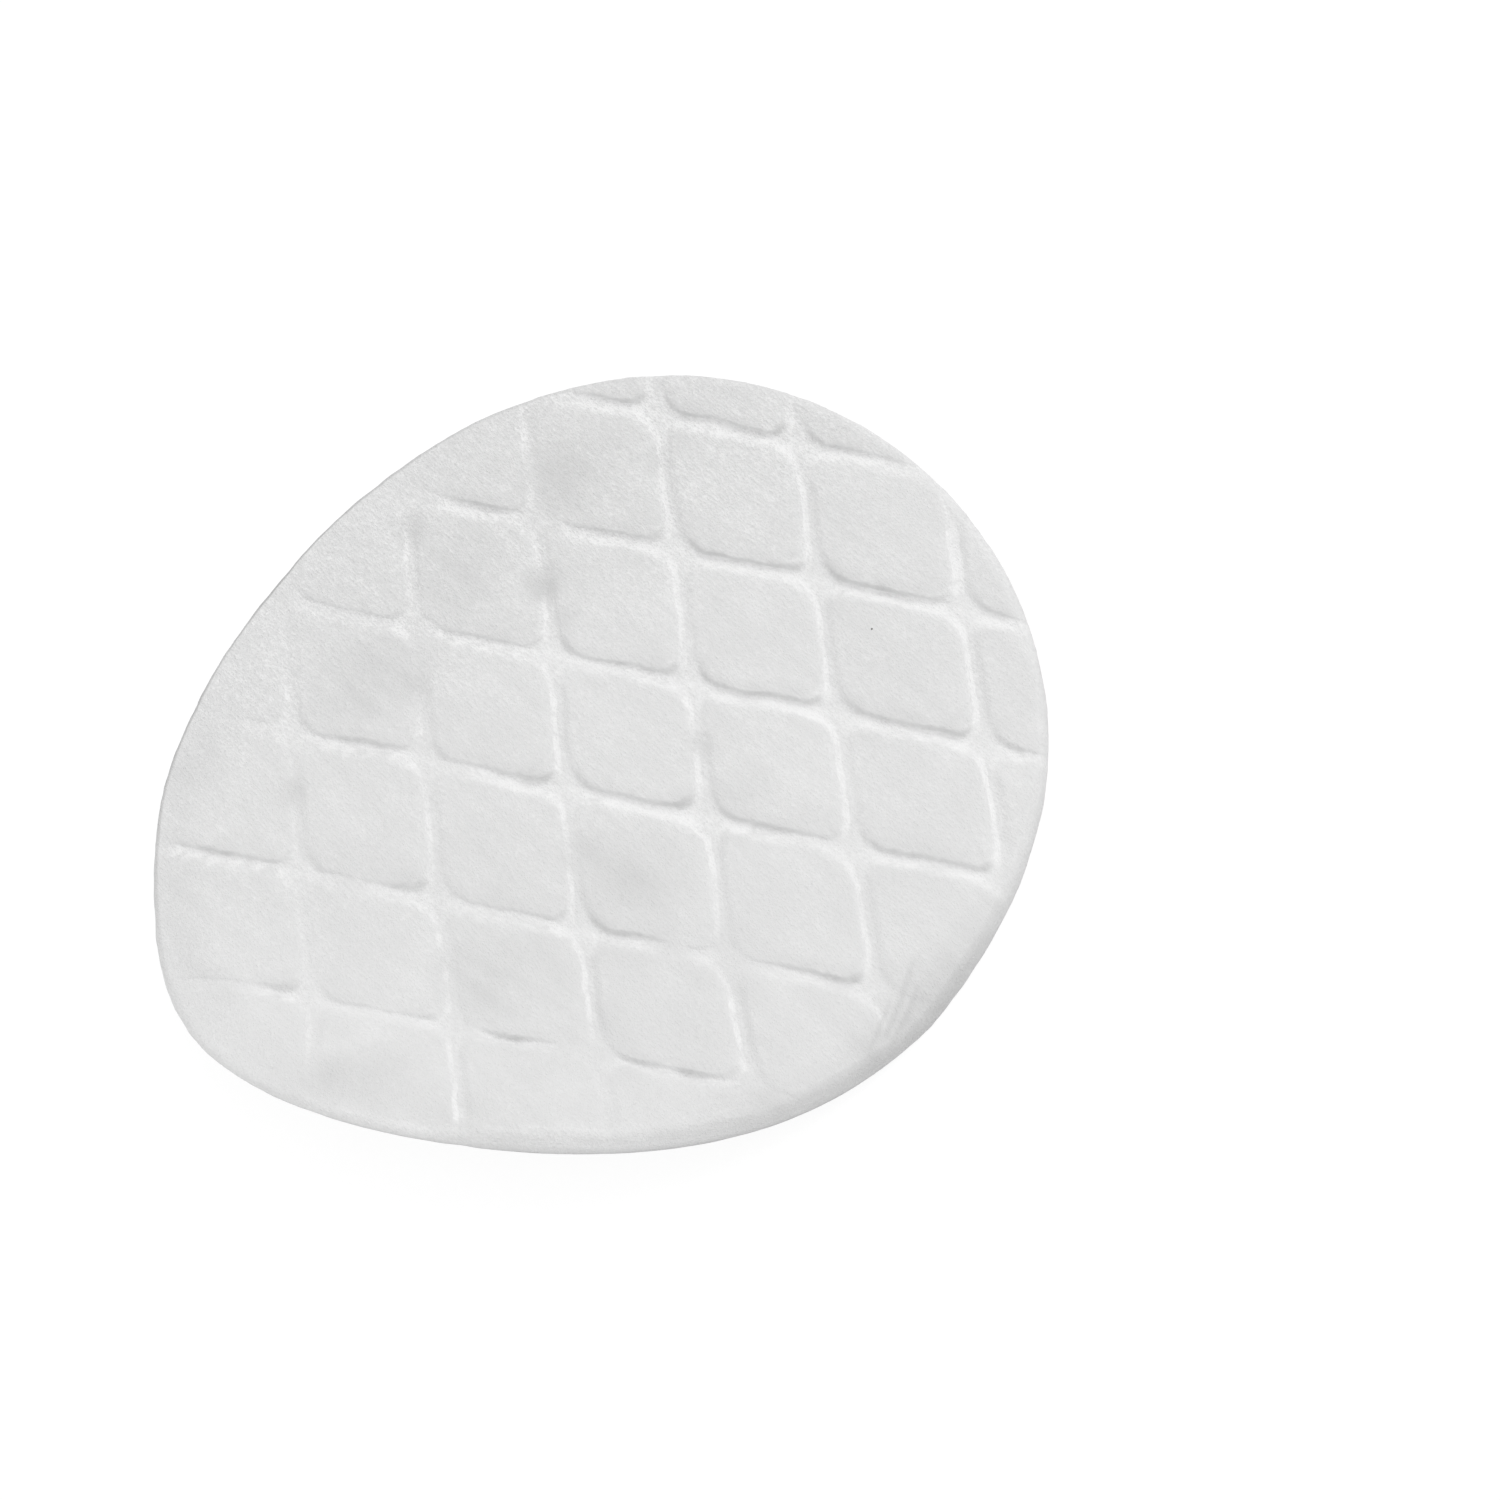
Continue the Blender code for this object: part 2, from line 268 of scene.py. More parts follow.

# Painted shade, the same way, on a band of the face beside the cut edge
RIM_SHADE = ((-55.0, -38.0, -24.0, -8.0, 2.0), (0.0, 0.12, 0.22, 0.10, 0.0))
RIM_SHADE_WIDTH = 2.6 * MM

# Unevenness of the face: streaks (height, length and width in mm, turn from the fibres, seed),
# then blotches (height and size in mm, seed), and the share of it on a groove's floor
FACE_STREAKS = ((0.020, 5.0, 0.55, 0.0, 31), (0.012, 2.6, 0.28, math.radians(-14.0), 32))
FACE_BLOTCHES = ((0.030, 3.2, 33), (0.014, 0.9, 34))
FLOOR_UNEVENNESS = 0.35

# How far the web is drawn to and fro: large and small blotches (distance and size in mm), fading at the rim
WOBBLES = ((0.12, 2.6), (0.05, 0.7))
WOBBLE_FADE = 3.0 * MM

# Layers of fibre down the cut edge: depth, length and height in mm, seed
EDGE_LAYERS = ((0.03, 1.6, 0.16, 51), (0.02, 0.5, 0.3, 52))
EDGE_LAYERS_WIDTH = 0.7 * MM

# Firmness of the pillows, and painted light on the web beside a long groove
PILLOW_FIRMNESS = 0.5
FIRMEST_PILLOW = 0.7
PAINTED_LIGHT_BESIDE_LONG = 0.07
PAINTED_LIGHT_BAND = (0.25 * MM, 1.1 * MM, 0.4 * MM)       # from, to, fade
FLOOR_FADE = 0.3 * MM

# Looseness of the surface fibres: everywhere, more to the upper left, less to the lower right,
# more in a thin spot, and in blotches
FLUFF = 1.3
UPPER_LEFT_FLUFF = 1.5
LOWER_RIGHT_FLUFF = -0.5
THIN_FLUFF = 0.8
FLUFF_BLOTCHES = 0.25

# The bright strip beside a groove's middle line, which is wider at the upper right: pressed cotton,
# brightened further as a painted highlight against the groove's own shade
STRIP_START = 0.06 * MM
STRIP_FADE = 0.12 * MM
CROSS_STRIP_REACH = 0.78 * MM
CROSS_STRIP_FADE = 0.60 * MM
WIDE_STRIP = 0.45 * MM
WIDE_STRIP_CORNER = (13.0 * MM, 15.5 * MM)
WIDE_STRIP_FADE = 3.0 * MM

# Painted shade: the dark line on the steep wall of a cross groove, and the darkening that fades up the
# pillow above it
WALL_FOOT_SHARE = 0.3
WALL_FOOT_LIMIT = 0.25 * MM
LINE_FADE = 0.05 * MM
SHADE_ABOVE_REACH = 0.9 * MM
SHADE_ABOVE_START = 0.1 * MM
PAINTED_SHADE_ABOVE = 0.30
PAINTED_LINE_SHADE = 0.31
DARKEST = 0.95
PAINTED_WALL_GREY = 0.15                    # painted shade on the wall, as grey

# A fleck of seed hull caught in the web (x, y, radius)
SEED_FLECK = (14.8 * MM, 13.3 * MM, 0.07 * MM)
SEED_COLOUR = (0.03, 0.025, 0.02, 1.0)

# Layers of the fibre grain: turn from the fibres, drawn out by, scale, detail, share of the first layer
GRAIN_LAYERS = (
    (0.0, 5.0, 7500.0, 3.0, 1.0),
    (-0.35, 3.5, 12000.0, 2.0, 0.7),
    (0.8, 3.5, 11000.0, 2.0, 0.7),
    (0.0, 1.3, 8000.0, 3.0, 0.6),
)
GRAIN_RANGE = (1.1, 1.9)             # of the added layers
GRAIN_TONE = 0.17                    # most that the grain changes the tone of a firm place

# Fineness of the mesh: lines close beside each groove, then even steps to the pillow's middle
FINE_LINES = tuple(distance * MM for distance in
                   (0.0, 0.05, 0.085, 0.12, 0.16, 0.21, 0.27, 0.35, 0.45, 0.58, 0.74, 0.93, 1.15))
PILLOW_STEPS = 10
RIM_SNAP = 0.01 * MM
CROSSING_STEPS = 30
NOISE_TABLE = 128


def smooth_step(value):
    value = np.clip(value, 0.0, 1.0)
    return value * value * (3.0 - 2.0 * value)


def above(value, edge, fade):
    """0 below the edge, 1 above it, with a soft step."""
    return smooth_step((value - edge) / fade + 0.5)


def below(value, edge, fade):
    """1 below the edge, 0 above it, with a soft step."""
    return smooth_step((edge - value) / fade + 0.5)


def band(value, low, high, fade):
    """1 from low to high, with soft ends."""
    return above(value, low, fade) * below(value, high, fade)


def noise(x, y, seed):
    """Smooth noise from -1 to 1 over places given in grains, the same on each run."""
    table = np.random.default_rng(seed).uniform(-1.0, 1.0, (NOISE_TABLE, NOISE_TABLE))
    column = np.floor(x).astype(int)
    row = np.floor(y).astype(int)
    right = smooth_step(x - column)
    up = smooth_step(y - row)
    corners = [table[(column + i) % NOISE_TABLE, (row + j) % NOISE_TABLE]
               for i, j in ((0, 0), (1, 0), (0, 1), (1, 1))]
    low = corners[0] + (corners[1] - corners[0]) * right
    high = corners[2] + (corners[3] - corners[2]) * right
    return low + (high - low) * up


def blotches(x, y, size, seed):
    """Noise in round blotches about that wide."""
    return noise(x / size, y / size, seed)


def fibre_noise(x, y, grain, width, seed, turn=0.0):
    """Noise in streaks of that length and width along the fibres."""
    angle = FIBRE_TURN + turn
    along = x * math.cos(angle) + y * math.sin(angle)
    across = y * math.cos(angle) - x * math.sin(angle)
    return noise(along / grain, across / width, seed)


def stretch(pad, x, y):
    """Where points of the even lattice end up on the drawn web."""
    u = x / pad.radius
    v = y / pad.radius
    drawn_x = LONG_SPREAD * u + LONG_LEAN * v + LONG_DRAW * u * u + LONG_FAN * u * v + LONG_BOW * v * v
    drawn_y = CROSS_LEAN * u + CROSS_SPREAD * v + CROSS_FAN * u * v + CROSS_BOW * v * v
    return x + drawn_x, y + drawn_y


def unstretch(pad, x, y):
    """The even lattice points that land on x, y."""
    guess_x = np.array(x, float)
    guess_y = np.array(y, float)
    for _ in range(DRAW_STEPS):
        now_x, now_y = stretch(pad, guess_x, guess_y)
        guess_x = guess_x + x - now_x
        guess_y = guess_y + y - now_y
    return guess_x, guess_y


def in_pitches(pad, x, y, normal):
    """Places across one family of grooves, in pitches from the middle pillow."""
    return ((x - MIDDLE_PILLOW[0]) * normal[0] + (y - MIDDLE_PILLOW[1]) * normal[1]) / pad.pitch


def lattice_place(pad, long_place, cross_place):
    """The lattice point at these places across the two families."""
    y = cross_place * pad.pitch
    x = (long_place * pad.pitch - y * LONG_NORMAL[1]) / LONG_NORMAL[0]
    return x + MIDDLE_PILLOW[0], y + MIDDLE_PILLOW[1]


def groove_offsets(pad, x, y):
    """Signed distances from the nearest groove line of each family, which wavers a little."""
    places = [np.maximum(in_pitches(pad, x, y, normal), GROOVES_END)
              for normal in (LONG_NORMAL, CROSS_NORMAL)]
    waver = [pad.waver * (blotches(x, y, 3.5 * MM, seed) + 0.7 * blotches(x, y, 0.5 * MM, seed + 1))
             for seed in (71, 73)]
    return [pad.pitch * (place - np.floor(place) - 0.5) + move for place, move in zip(places, waver)]


def pillow_distance(pad, x, y):
    """Distance in from the pillow's outline, with its corners rounded."""
    a, b = np.abs(groove_offsets(pad, x, y))
    blend = np.maximum(pad.corner - np.abs(a - b), 0.0) / pad.corner
    return np.minimum(a, b) - blend * blend * pad.corner / 4.0


def cross_share(pad, x, y):
    """1 beside a cross groove, 0 beside a long one, and a mix near both."""
    a, b = np.abs(groove_offsets(pad, x, y))
    return smooth_step(0.5 + (a - b) / (2.0 * pad.corner))


def groove_sides(pad, x, y):
    """Half width of the floor, and width of the wall, on each side of the nearest groove."""
    long_offset, cross_offset = groove_offsets(pad, x, y)
    share = cross_share(pad, x, y)
    half_floor = pad.groove_floor / 2.0
    cross_floor = np.where(cross_offset > 0.0, pad.cross_floor, 0.0)
    long_wall = np.where(long_offset > 0.0, pad.gentle_wall, pad.easy_wall)
    cross_wall = np.where(cross_offset > 0.0, pad.steep_wall, pad.soft_wall)
    return half_floor + (cross_floor - half_floor) * share, long_wall + (cross_wall - long_wall) * share


def spots_share(spots, x, y):
    """The share that a list of soft-edged spots, in mm, leaves at each place."""
    left = np.ones_like(x)
    for spot_x, spot_y, radius, loss in spots:
        away = np.hypot(x - spot_x * MM, y - spot_y * MM) / (radius * MM)
        left = left * (1.0 - loss * (1.0 - smooth_step(away)))
    return left


def weak_side(x):
    """1 on the side where the press bites unevenly, 0 on the firm side."""
    return smooth_step((WEAK_SIDE_START - x) / WEAK_SIDE_FADE)


def press_share(pad, x, y):
    """How firmly the grooves are pressed at each place, from 0 to about 1."""
    weak = weak_side(x)
    spread = PRESS_UNEVENNESS[0] + PRESS_UNEVENNESS[1] * weak
    uneven = 1.0 - WEAK_PRESS_LOSS * weak + spread * blotches(x, y, PRESS_BLOTCH, 11)
    at_rim = smooth_step(1.0 - (pad.radius - np.hypot(x, y)) / RIM_FADE_WIDTH)
    firm = spots_share(SOFT_SPOTS, x, y) * uneven * (1.0 - RIM_FADE * at_rim)
    return np.clip(firm, 0.0, FIRMEST_PRESS)


def rim_pinch(pad, x, y):
    """Share of the loft lost at the rim, more on the thin side."""
    off_side = np.abs((np.arctan2(y, x) - THIN_SIDE + math.pi) % math.tau - math.pi)
    return pad.rim_pinch + pad.thin_side_pinch * smooth_step((THIN_SIDE_REACH - off_side) / THIN_SIDE_FADE)


def pillow_loft(pad, x, y):
    """Each pillow stands a little more or less proud than its neighbours."""
    long_number, cross_number = [
        np.round(np.maximum(in_pitches(pad, x, y, normal), GROOVES_END)).astype(int)
        for normal in (LONG_NORMAL, CROSS_NORMAL)]
    table = np.random.default_rng(LOFT_SEED).uniform(-1.0, 1.0, (NOISE_TABLE, NOISE_TABLE))
    return 1.0 + LOFT_SPREAD * table[long_number, cross_number]


def crease_depth(x, y):
    """Depth of the fine creases that run along the sloping side."""
    depth = np.zeros_like(x)
    for crease in CREASES:
        start_x, start_y, end_x, end_y, width, deepest = [size * MM for size in crease]
        run_x, run_y = end_x - start_x, end_y - start_y
        length = math.hypot(run_x, run_y)
        along = ((x - start_x) * run_x + (y - start_y) * run_y) / length ** 2
        across = ((x - start_x) * run_y - (y - start_y) * run_x) / length
        depth += deepest * np.exp(-(across / width) ** 2) * smooth_step(2.0 - 4.0 * np.abs(along - 0.5))
    return depth


def unevenness(x, y):
    """Height of the fine streaks and blotches of the face."""
    streaks = sum(height * fibre_noise(x, y, length * MM, width * MM, seed, turn)
                  for height, length, width, turn, seed in FACE_STREAKS)
    total = sum((height * blotches(x, y, size * MM, seed) for height, size, seed in FACE_BLOTCHES), streaks)
    return total * MM


def face_height(pad, lattice_x, lattice_y):
    """Height of the quilted face over the back, before the curl."""
    x, y = stretch(pad, lattice_x, lattice_y)
    to_rim = (pad.radius - np.hypot(x, y)) / pad.rim_pinch_width
    pinch = rim_pinch(pad, x, y) * smooth_step(1.0 - to_rim)
    inside = pillow_distance(pad, lattice_x, lattice_y)
    half_floor, wall = groove_sides(pad, lattice_x, lattice_y)
    from_floor = inside - half_floor
    up_the_wall = np.clip(from_floor / wall, 0.0, 1.0)
    on_shoulder = np.clip(from_floor / pad.shoulder_width, 0.0, 1.0)
    below_pillow = ((1.0 - pad.shoulder_share) * (1.0 - 0.5 * up_the_wall - 0.5 * smooth_step(up_the_wall))
                    + pad.shoulder_share * (1.0 - on_shoulder) ** 2)
    family = pad.long_press + (1.0 - pad.long_press) * cross_share(pad, lattice_x, lattice_y)
    groove = pad.groove_press * family * press_share(pad, x, y) * below_pillow
    crown = pad.crown_drop * (1.0 - np.clip(inside / (pad.pitch / 2.0), 0.0, 1.0)) ** 2
    loft = 1.0 + (pillow_loft(pad, lattice_x, lattice_y) - 1.0) * up_the_wall
    height = (pad.loft * loft * (1.0 - pinch) * (1.0 - crown) * (1.0 - groove)
              * spots_share(DENTS, x, y) * spots_share(HOLLOWS, x, y)) - crease_depth(x, y)
    return height + unevenness(x, y) * (FLOOR_UNEVENNESS + (1.0 - FLOOR_UNEVENNESS) * up_the_wall)


def back_height(pad, lattice_x, lattice_y):
    """The back is flat but for the faint imprint of the grooves."""
    x, y = stretch(pad, lattice_x, lattice_y)
    inside = np.abs(groove_offsets(pad, lattice_x, lattice_y)).min(axis=0)
    return (pad.back_imprint * press_share(pad, x, y)
            * (1.0 - smooth_step(inside / pad.back_imprint_width)))


def curl(points):
    """Roll the flat pad up along its two curled sides."""
    direction = np.array((-math.sin(CURL_TURN), math.cos(CURL_TURN)))
    rolled = points.copy()
    for side, start, radius in CURLS:
        run = np.maximum(0.0, side * (points[:, :2] @ direction) - start)
        angle = run / radius
        move = side * ((radius - points[:, 2]) * np.sin(angle) - run)
        rolled[:, :2] += move[:, None] * direction
        rolled[:, 2] += (radius - points[:, 2]) * (1.0 - np.cos(angle))
    return rolled


def turn_on_floor(points):
    cosine = math.cos(PAD_TURN)
    sine = math.sin(PAD_TURN)
    return np.stack((points[:, 0] * cosine - points[:, 1] * sine,
                     points[:, 0] * sine + points[:, 1] * cosine,
                     points[:, 2]), axis=1)


def grid_offsets(pad):
    """Distances of the grid lines from a groove's middle line to the pillow's middle."""
    across = pad.pitch / 2.0 - FINE_LINES[-1]
    return list(FINE_LINES) + [
        FINE_LINES[-1] + across * (0.55 * step / PILLOW_STEPS + 0.45 * (step / PILLOW_STEPS) ** 2)
        for step in range(1, PILLOW_STEPS + 1)]


def grid_lines(pad, offsets):
    """The grid lines across all grooves of one family, in pitches from the middle pillow."""
    grooves_each_way = math.ceil(pad.radius / pad.pitch) + 1
    places = set()
    for groove in range(-grooves_each_way, grooves_each_way + 1):
        for offset in offsets:
            places.add(round(groove + 0.5 + offset / pad.pitch, 7))
            places.add(round(groove + 0.5 - offset / pad.pitch, 7))
    return np.array(sorted(places))


def in_ring(pad, ring, place):
    """Whether lattice places, given in pitches, lie inside the ring."""
    x, y = stretch(pad, *lattice_place(pad, place[:, 0], place[:, 1]))
    return np.hypot(x, y) < ring


def ring_crossings(pad, ring, start, end):
    """Lattice places where the grid edges from start to end cross the ring."""
    low = np.zeros(len(start))
    high = np.ones(len(start))
    starts_inside = in_ring(pad, ring, start)
    for _ in range(CROSSING_STEPS):
        middle = (low + high) / 2.0
        same_side = in_ring(pad, ring, start + (end - start) * middle[:, None]) == starts_inside
        low = np.where(same_side, middle, low)
        high = np.where(same_side, high, middle)
    place = start + (end - start) * ((low + high) / 2.0)[:, None]
    return np.stack(lattice_place(pad, place[:, 0], place[:, 1]), axis=1)


def clipped_grid(pad, lines, ring):
    """A grid along the grooves, clipped to a ring: lattice places, faces, and which are on the ring."""
    count = len(lines)
    long_places, cross_places = np.meshgrid(lines, lines, indexing="ij")
    lattice_x, lattice_y = lattice_place(pad, long_places, cross_places)
    x, y = stretch(pad, lattice_x, lattice_y)
    radius = np.hypot(x, y)
    side = np.where(radius < ring - RIM_SNAP, 1, np.where(radius > ring + RIM_SNAP, -1, 0))
    snapped = side == 0
    lattice_x[snapped], lattice_y[snapped] = unstretch(
        pad, x[snapped] * ring / radius[snapped], y[snapped] * ring / radius[snapped])

    numbers = np.arange(count * count).reshape(count, count)
    flat_side = side.ravel()
    grid_places = np.stack((long_places.ravel(), cross_places.ravel()), axis=1)
    edges = np.concatenate((np.stack((numbers[:-1].ravel(), numbers[1:].ravel()), axis=1),
                            np.stack((numbers[:, :-1].ravel(), numbers[:, 1:].ravel()), axis=1)))
    edges = edges[flat_side[edges[:, 0]] * flat_side[edges[:, 1]] == -1]
    crossings = ring_crossings(pad, ring, grid_places[edges[:, 0]], grid_places[edges[:, 1]])
    crossing_of = {tuple(edge): count * count + number for number, edge in enumerate(edges.tolist())}
    places = np.concatenate((np.stack((lattice_x.ravel(), lattice_y.ravel()), axis=1), crossings))
    on_ring = np.concatenate((flat_side == 0, np.ones(len(crossings), bool)))

    cells = np.stack((numbers[:-1, :-1].ravel(), numbers[1:, :-1].ravel(),
                      numbers[1:, 1:].ravel(), numbers[:-1, 1:].ravel()), axis=1)
    corner_sides = flat_side[cells]
    whole = (corner_sides == 1).all(axis=1)
    faces = cells[whole].tolist()
    mixed = (corner_sides == 1).any(axis=1) & ~whole
    for cell in cells[mixed].tolist():
        face = []
        for here, after in zip(cell, cell[1:] + cell[:1]):
            if flat_side[here] >= 0:
                face.append(here)
            if flat_side[here] * flat_side[after] == -1:
                face.append(crossing_of[(min(here, after), max(here, after))])
        faces.append(face)
    return places, faces, on_ring


def used_points(places, faces, on_ring):
    """The same faces on the points that they use."""
    used = np.unique(np.concatenate([np.array(face) for face in faces]))
    new_number = np.full(len(places), -1)
    new_number[used] = np.arange(len(used))
    return places[used], [new_number[face].tolist() for face in faces], on_ring[used]


def outer_loop(faces):
    """The points round the open edge of the faces, in order."""
    sides = {(here, after) for face in faces for here, after in zip(face, face[1:] + face[:1])}
    ahead = {here: after for here, after in sides if (after, here) not in sides}
    loop = [min(ahead)]
    while ahead[loop[-1]] != loop[0]:
        loop.append(ahead[loop[-1]])
    if len(loop) != len(ahead):
        raise RuntimeError("the quilted face has more than one edge")
    return np.array(loop)


def turns_of(pad, places):
    x, y = stretch(pad, places[:, 0], places[:, 1])
    return np.arctan2(y, x)


def fill_back(back_faces, back_ring_step, ring_size, first_inner, inner_number, ring_numbers):
    """The back's faces on the points of the lowest edge row, taking in all points between."""
    faces = []
    for face in back_faces:
        corners = []
        for here, after in zip(face, face[1:] + face[:1]):
            if back_ring_step[here] < 0:
                corners.append(first_inner + inner_number[here])
                continue
            corners.append(ring_numbers[back_ring_step[here]])
            if back_ring_step[after] >= 0:
                between = (back_ring_step[after] - back_ring_step[here]) % ring_size
                if between < ring_size // 2:
                    corners += [ring_numbers[(back_ring_step[here] + step) % ring_size]
                                for step in range(1, between)]
        corners = [corner for number, corner in enumerate(corners) if corner != corners[number - 1]]
        if len(corners) > 2:
            faces.append(corners[::-1])
    return faces


def edge_rows(pad):
    """Inset and share of the thickness of each row down the cut edge."""
    insets = np.array([row[0] for row in EDGE_PROFILE])
    shares = np.array([row[1] for row in EDGE_PROFILE])
    steps = np.hypot(np.diff(insets), np.diff(shares) * pad.loft)
    run = np.concatenate(([0.0], np.cumsum(steps)))
    places = np.linspace(0.0, run[-1], EDGE_ROWS + 1)[1:]
    rows = list(zip(np.interp(places, run, insets), np.interp(places, run, shares)))
    return rows + [(BACK_INSET, 0.0)]


def pad_mesh(pad):
    """The closed dressed pad in the frame's own space: points, faces, attributes and the foot's place."""
    offsets = grid_offsets(pad)
    ring = pad.radius - EDGE_PROFILE[0][0]
    places, faces, on_ring = used_points(*clipped_grid(pad, grid_lines(pad, offsets), ring))
    ring_points = outer_loop(faces)
    first = turns_of(pad, places[ring_points]).argmin()
    ring_points = np.roll(ring_points, -first)
    turns = np.sort(turns_of(pad, places[ring_points]))
    places[ring_points] = np.stack(
        unstretch(pad, ring * np.cos(turns), ring * np.sin(turns)), axis=1)
    ring_size = len(ring_points)

    all_places = [places]
    shares = [np.ones(len(places))]
    above = ring_points
    total = len(places)
    for inset, share in edge_rows(pad):
        radius = pad.radius - inset
        row = np.stack(unstretch(pad, radius * np.cos(turns), radius * np.sin(turns)), axis=1)
        all_places.append(row)
        shares.append(np.full(ring_size, share))
        below = total + np.arange(ring_size)
        faces += np.stack((np.roll(above, -1), above, below, np.roll(below, -1)), axis=1).tolist()
        above = below
        total += ring_size

    coarse = sorted(set(offsets[::2] + [offsets[-1]]))
    back_places, back_faces, back_on_ring = used_points(
        *clipped_grid(pad, grid_lines(pad, coarse), ring))
    gaps = np.abs((turns_of(pad, back_places[back_on_ring])[:, None] - turns[None, :] + math.pi)
                  % math.tau - math.pi)
    back_ring_step = np.full(len(back_places), -1)
    back_ring_step[back_on_ring] = gaps.argmin(axis=1)
    inner_number = np.cumsum(~back_on_ring) - 1
    faces += fill_back(back_faces, back_ring_step, ring_size, total, inner_number, above)
    all_places.append(back_places[~back_on_ring])
    shares.append(np.zeros(int((~back_on_ring).sum())))

    places = np.concatenate(all_places)
    shares = np.concatenate(shares)
    points, plain = web_points(pad, places, shares)
    foot = (plain.min(axis=0) + plain.max(axis=0)) / 2.0
    foot[2] = 0.0
    density_and_painted_shading, painted_shade = cotton_finish(pad, places, shares)
    attributes = {"density_and_painted_shading": density_and_painted_shading, "painted_shade": painted_shade, "fluff": fluff(pad, places)}
    return points - foot, faces, attributes, foot


class WebPlaces:
    """Points of the web: where they lie, and how they lie to the grooves beside them."""

    def __init__(self, pad, places):
        lattice = places[:, 0], places[:, 1]
        self.x, self.y = stretch(pad, *lattice)
        self.long_offset, self.cross_offset = groove_offsets(pad, *lattice)
        self.inside = pillow_distance(pad, *lattice)
        self.cross = cross_share(pad, *lattice)
        self.half_floor, wall = groove_sides(pad, *lattice)
        self.wall_foot = self.half_floor + WALL_FOOT_SHARE * np.minimum(wall, WALL_FOOT_LIMIT)
        self.full_press = press_share(pad, self.x, self.y)
        self.press = np.minimum(self.full_press, 1.0)


def ground_firmness(pad, web):
    """Firmness of the pillows and of the floors between them, before the bright and dark lines."""
    thin = 1.0 - spots_share(THIN_AND_SHADED_SPOTS, web.x, web.y)
    thin = thin * (0.8 + 0.5 * fibre_noise(web.x, web.y, 3.0 * MM, 0.8 * MM, 63))
    patchy = 0.06 * blotches(web.x, web.y, 2.2 * MM, 61)
    streaky = 0.07 * fibre_noise(web.x, web.y, 4.0 * MM, 0.5 * MM, 62)
    plain = np.clip(PILLOW_FIRMNESS * (1.0 - thin) + patchy + streaky, 0.0, FIRMEST_PILLOW)
    # The groove floors are brightened: denser pressed cotton, and painted light against the groove's own
    # shade
    on_floor = (1.0 - smooth_step((web.inside - web.half_floor) / FLOOR_FADE)) * (0.5 + 0.5 * web.cross)
    firm = plain + (pad.floor_density_and_light - plain) * on_floor * web.press
    # Painted light lifts the tone beside each long groove
    return firm + PAINTED_LIGHT_BESIDE_LONG * band(web.long_offset, *PAINTED_LIGHT_BAND) * (1.0 - web.cross) * web.press


def pressed_and_highlight_strip(pad, web):
    """Share of the bright strip beside a groove's middle line, broken where the press is weak; it is partly
    denser pressed cotton and partly a painted highlight.
    """
    wide = (smooth_step((web.x - WIDE_STRIP_CORNER[0]) / WIDE_STRIP_FADE)
            * smooth_step((web.y - WIDE_STRIP_CORNER[1]) / WIDE_STRIP_FADE))
    edge = pad.groove_floor / 2.0 + 0.4 * pad.easy_wall
    edge = edge + (CROSS_STRIP_REACH - edge) * web.cross
    past_middle = above(web.inside, STRIP_START, STRIP_FADE)
    past_middle = past_middle + (1.0 - past_middle) * np.maximum(web.cross, wide)
    on_side = ((1.0 - web.cross) * below(web.long_offset, WIDE_STRIP * wide, STRIP_FADE)
               + web.cross * below(web.cross_offset, web.wall_foot, LINE_FADE))
    strip = past_middle * on_side * below(web.inside, edge, STRIP_FADE + CROSS_STRIP_FADE * web.cross)
    from_crossing = np.maximum(np.abs(web.long_offset), np.abs(web.cross_offset))
    crossing = 1.0 - smooth_step((from_crossing - 0.5 * MM) / MM)
    weak = weak_side(web.x)
    broken = (0.92 - 0.40 * weak + (0.50 + 0.35 * weak) * blotches(web.x, web.y, 0.8 * MM, 64)
              + 0.5 * blotches(web.x, web.y, 0.25 * MM, 65))
    near_side = (1.0 - 0.25 * (1.0 - web.cross) * smooth_step(-web.y / (10.0 * MM))
                 - 0.50 * web.cross * smooth_step((0.5 * web.x - web.y - 4.0 * MM) / (14.0 * MM)))
    return np.clip(strip * (1.0 - 0.4 * crossing) * broken * near_side, 0.0, 1.0)


def painted_groove_shade(pad, web):
    """Shares of the painted shade on a cross groove's steep wall, and of the painted shade that fades up
    the pillow above it.
    """
    uneven = (np.clip(1.0 + 0.5 * blotches(web.x, web.y, 1.8 * MM, 70), 0.4, 1.4)
              + 1.2 * (web.full_press - web.press))
    ragged = uneven * (0.85 + 0.45 * blotches(web.x, web.y, 0.35 * MM, 66))
    wall_top = web.wall_foot + pad.steep_wall * (1.3 + 0.5 * blotches(web.x, web.y, 0.3 * MM, 68))
    painted_wall_shade = band(web.inside, web.wall_foot, wall_top, LINE_FADE) * ragged
    up = web.inside - web.wall_foot
    # drawn: the painted shade that fades up the pillow above the wall
    drawn = (smooth_step(1.2 - up / SHADE_ABOVE_REACH) * smooth_step(up / SHADE_ABOVE_START)
             * uneven * (0.8 + 0.9 * fibre_noise(web.x, web.y, 0.9 * MM, 0.3 * MM, 67)))
    return painted_wall_shade, drawn


def painted_edge_shading(pad, web, shares):
    """Painted shade on the cut edge and on the face beside it; below 0 it is painted light."""
    turn = np.degrees(np.arctan2(web.y, web.x))
    at_rim = smooth_step(1.0 - (pad.radius - np.hypot(web.x, web.y)) / RIM_SHADE_WIDTH)
    return (np.interp(shares, CUT_SHARES, CORNER_PAINTED_SHADE) * np.interp(turn, *CORNER_TURNS)
            + np.interp(shares, CUT_SHARES, EDGE_WALL_PAINTED_SHADE) * np.interp(turn, *WALL_TURNS)
            + np.interp(shares, CUT_SHARES, FOOT_PAINTED_SHADE)
            + np.interp(turn, *RIM_SHADE) * shares * at_rim)


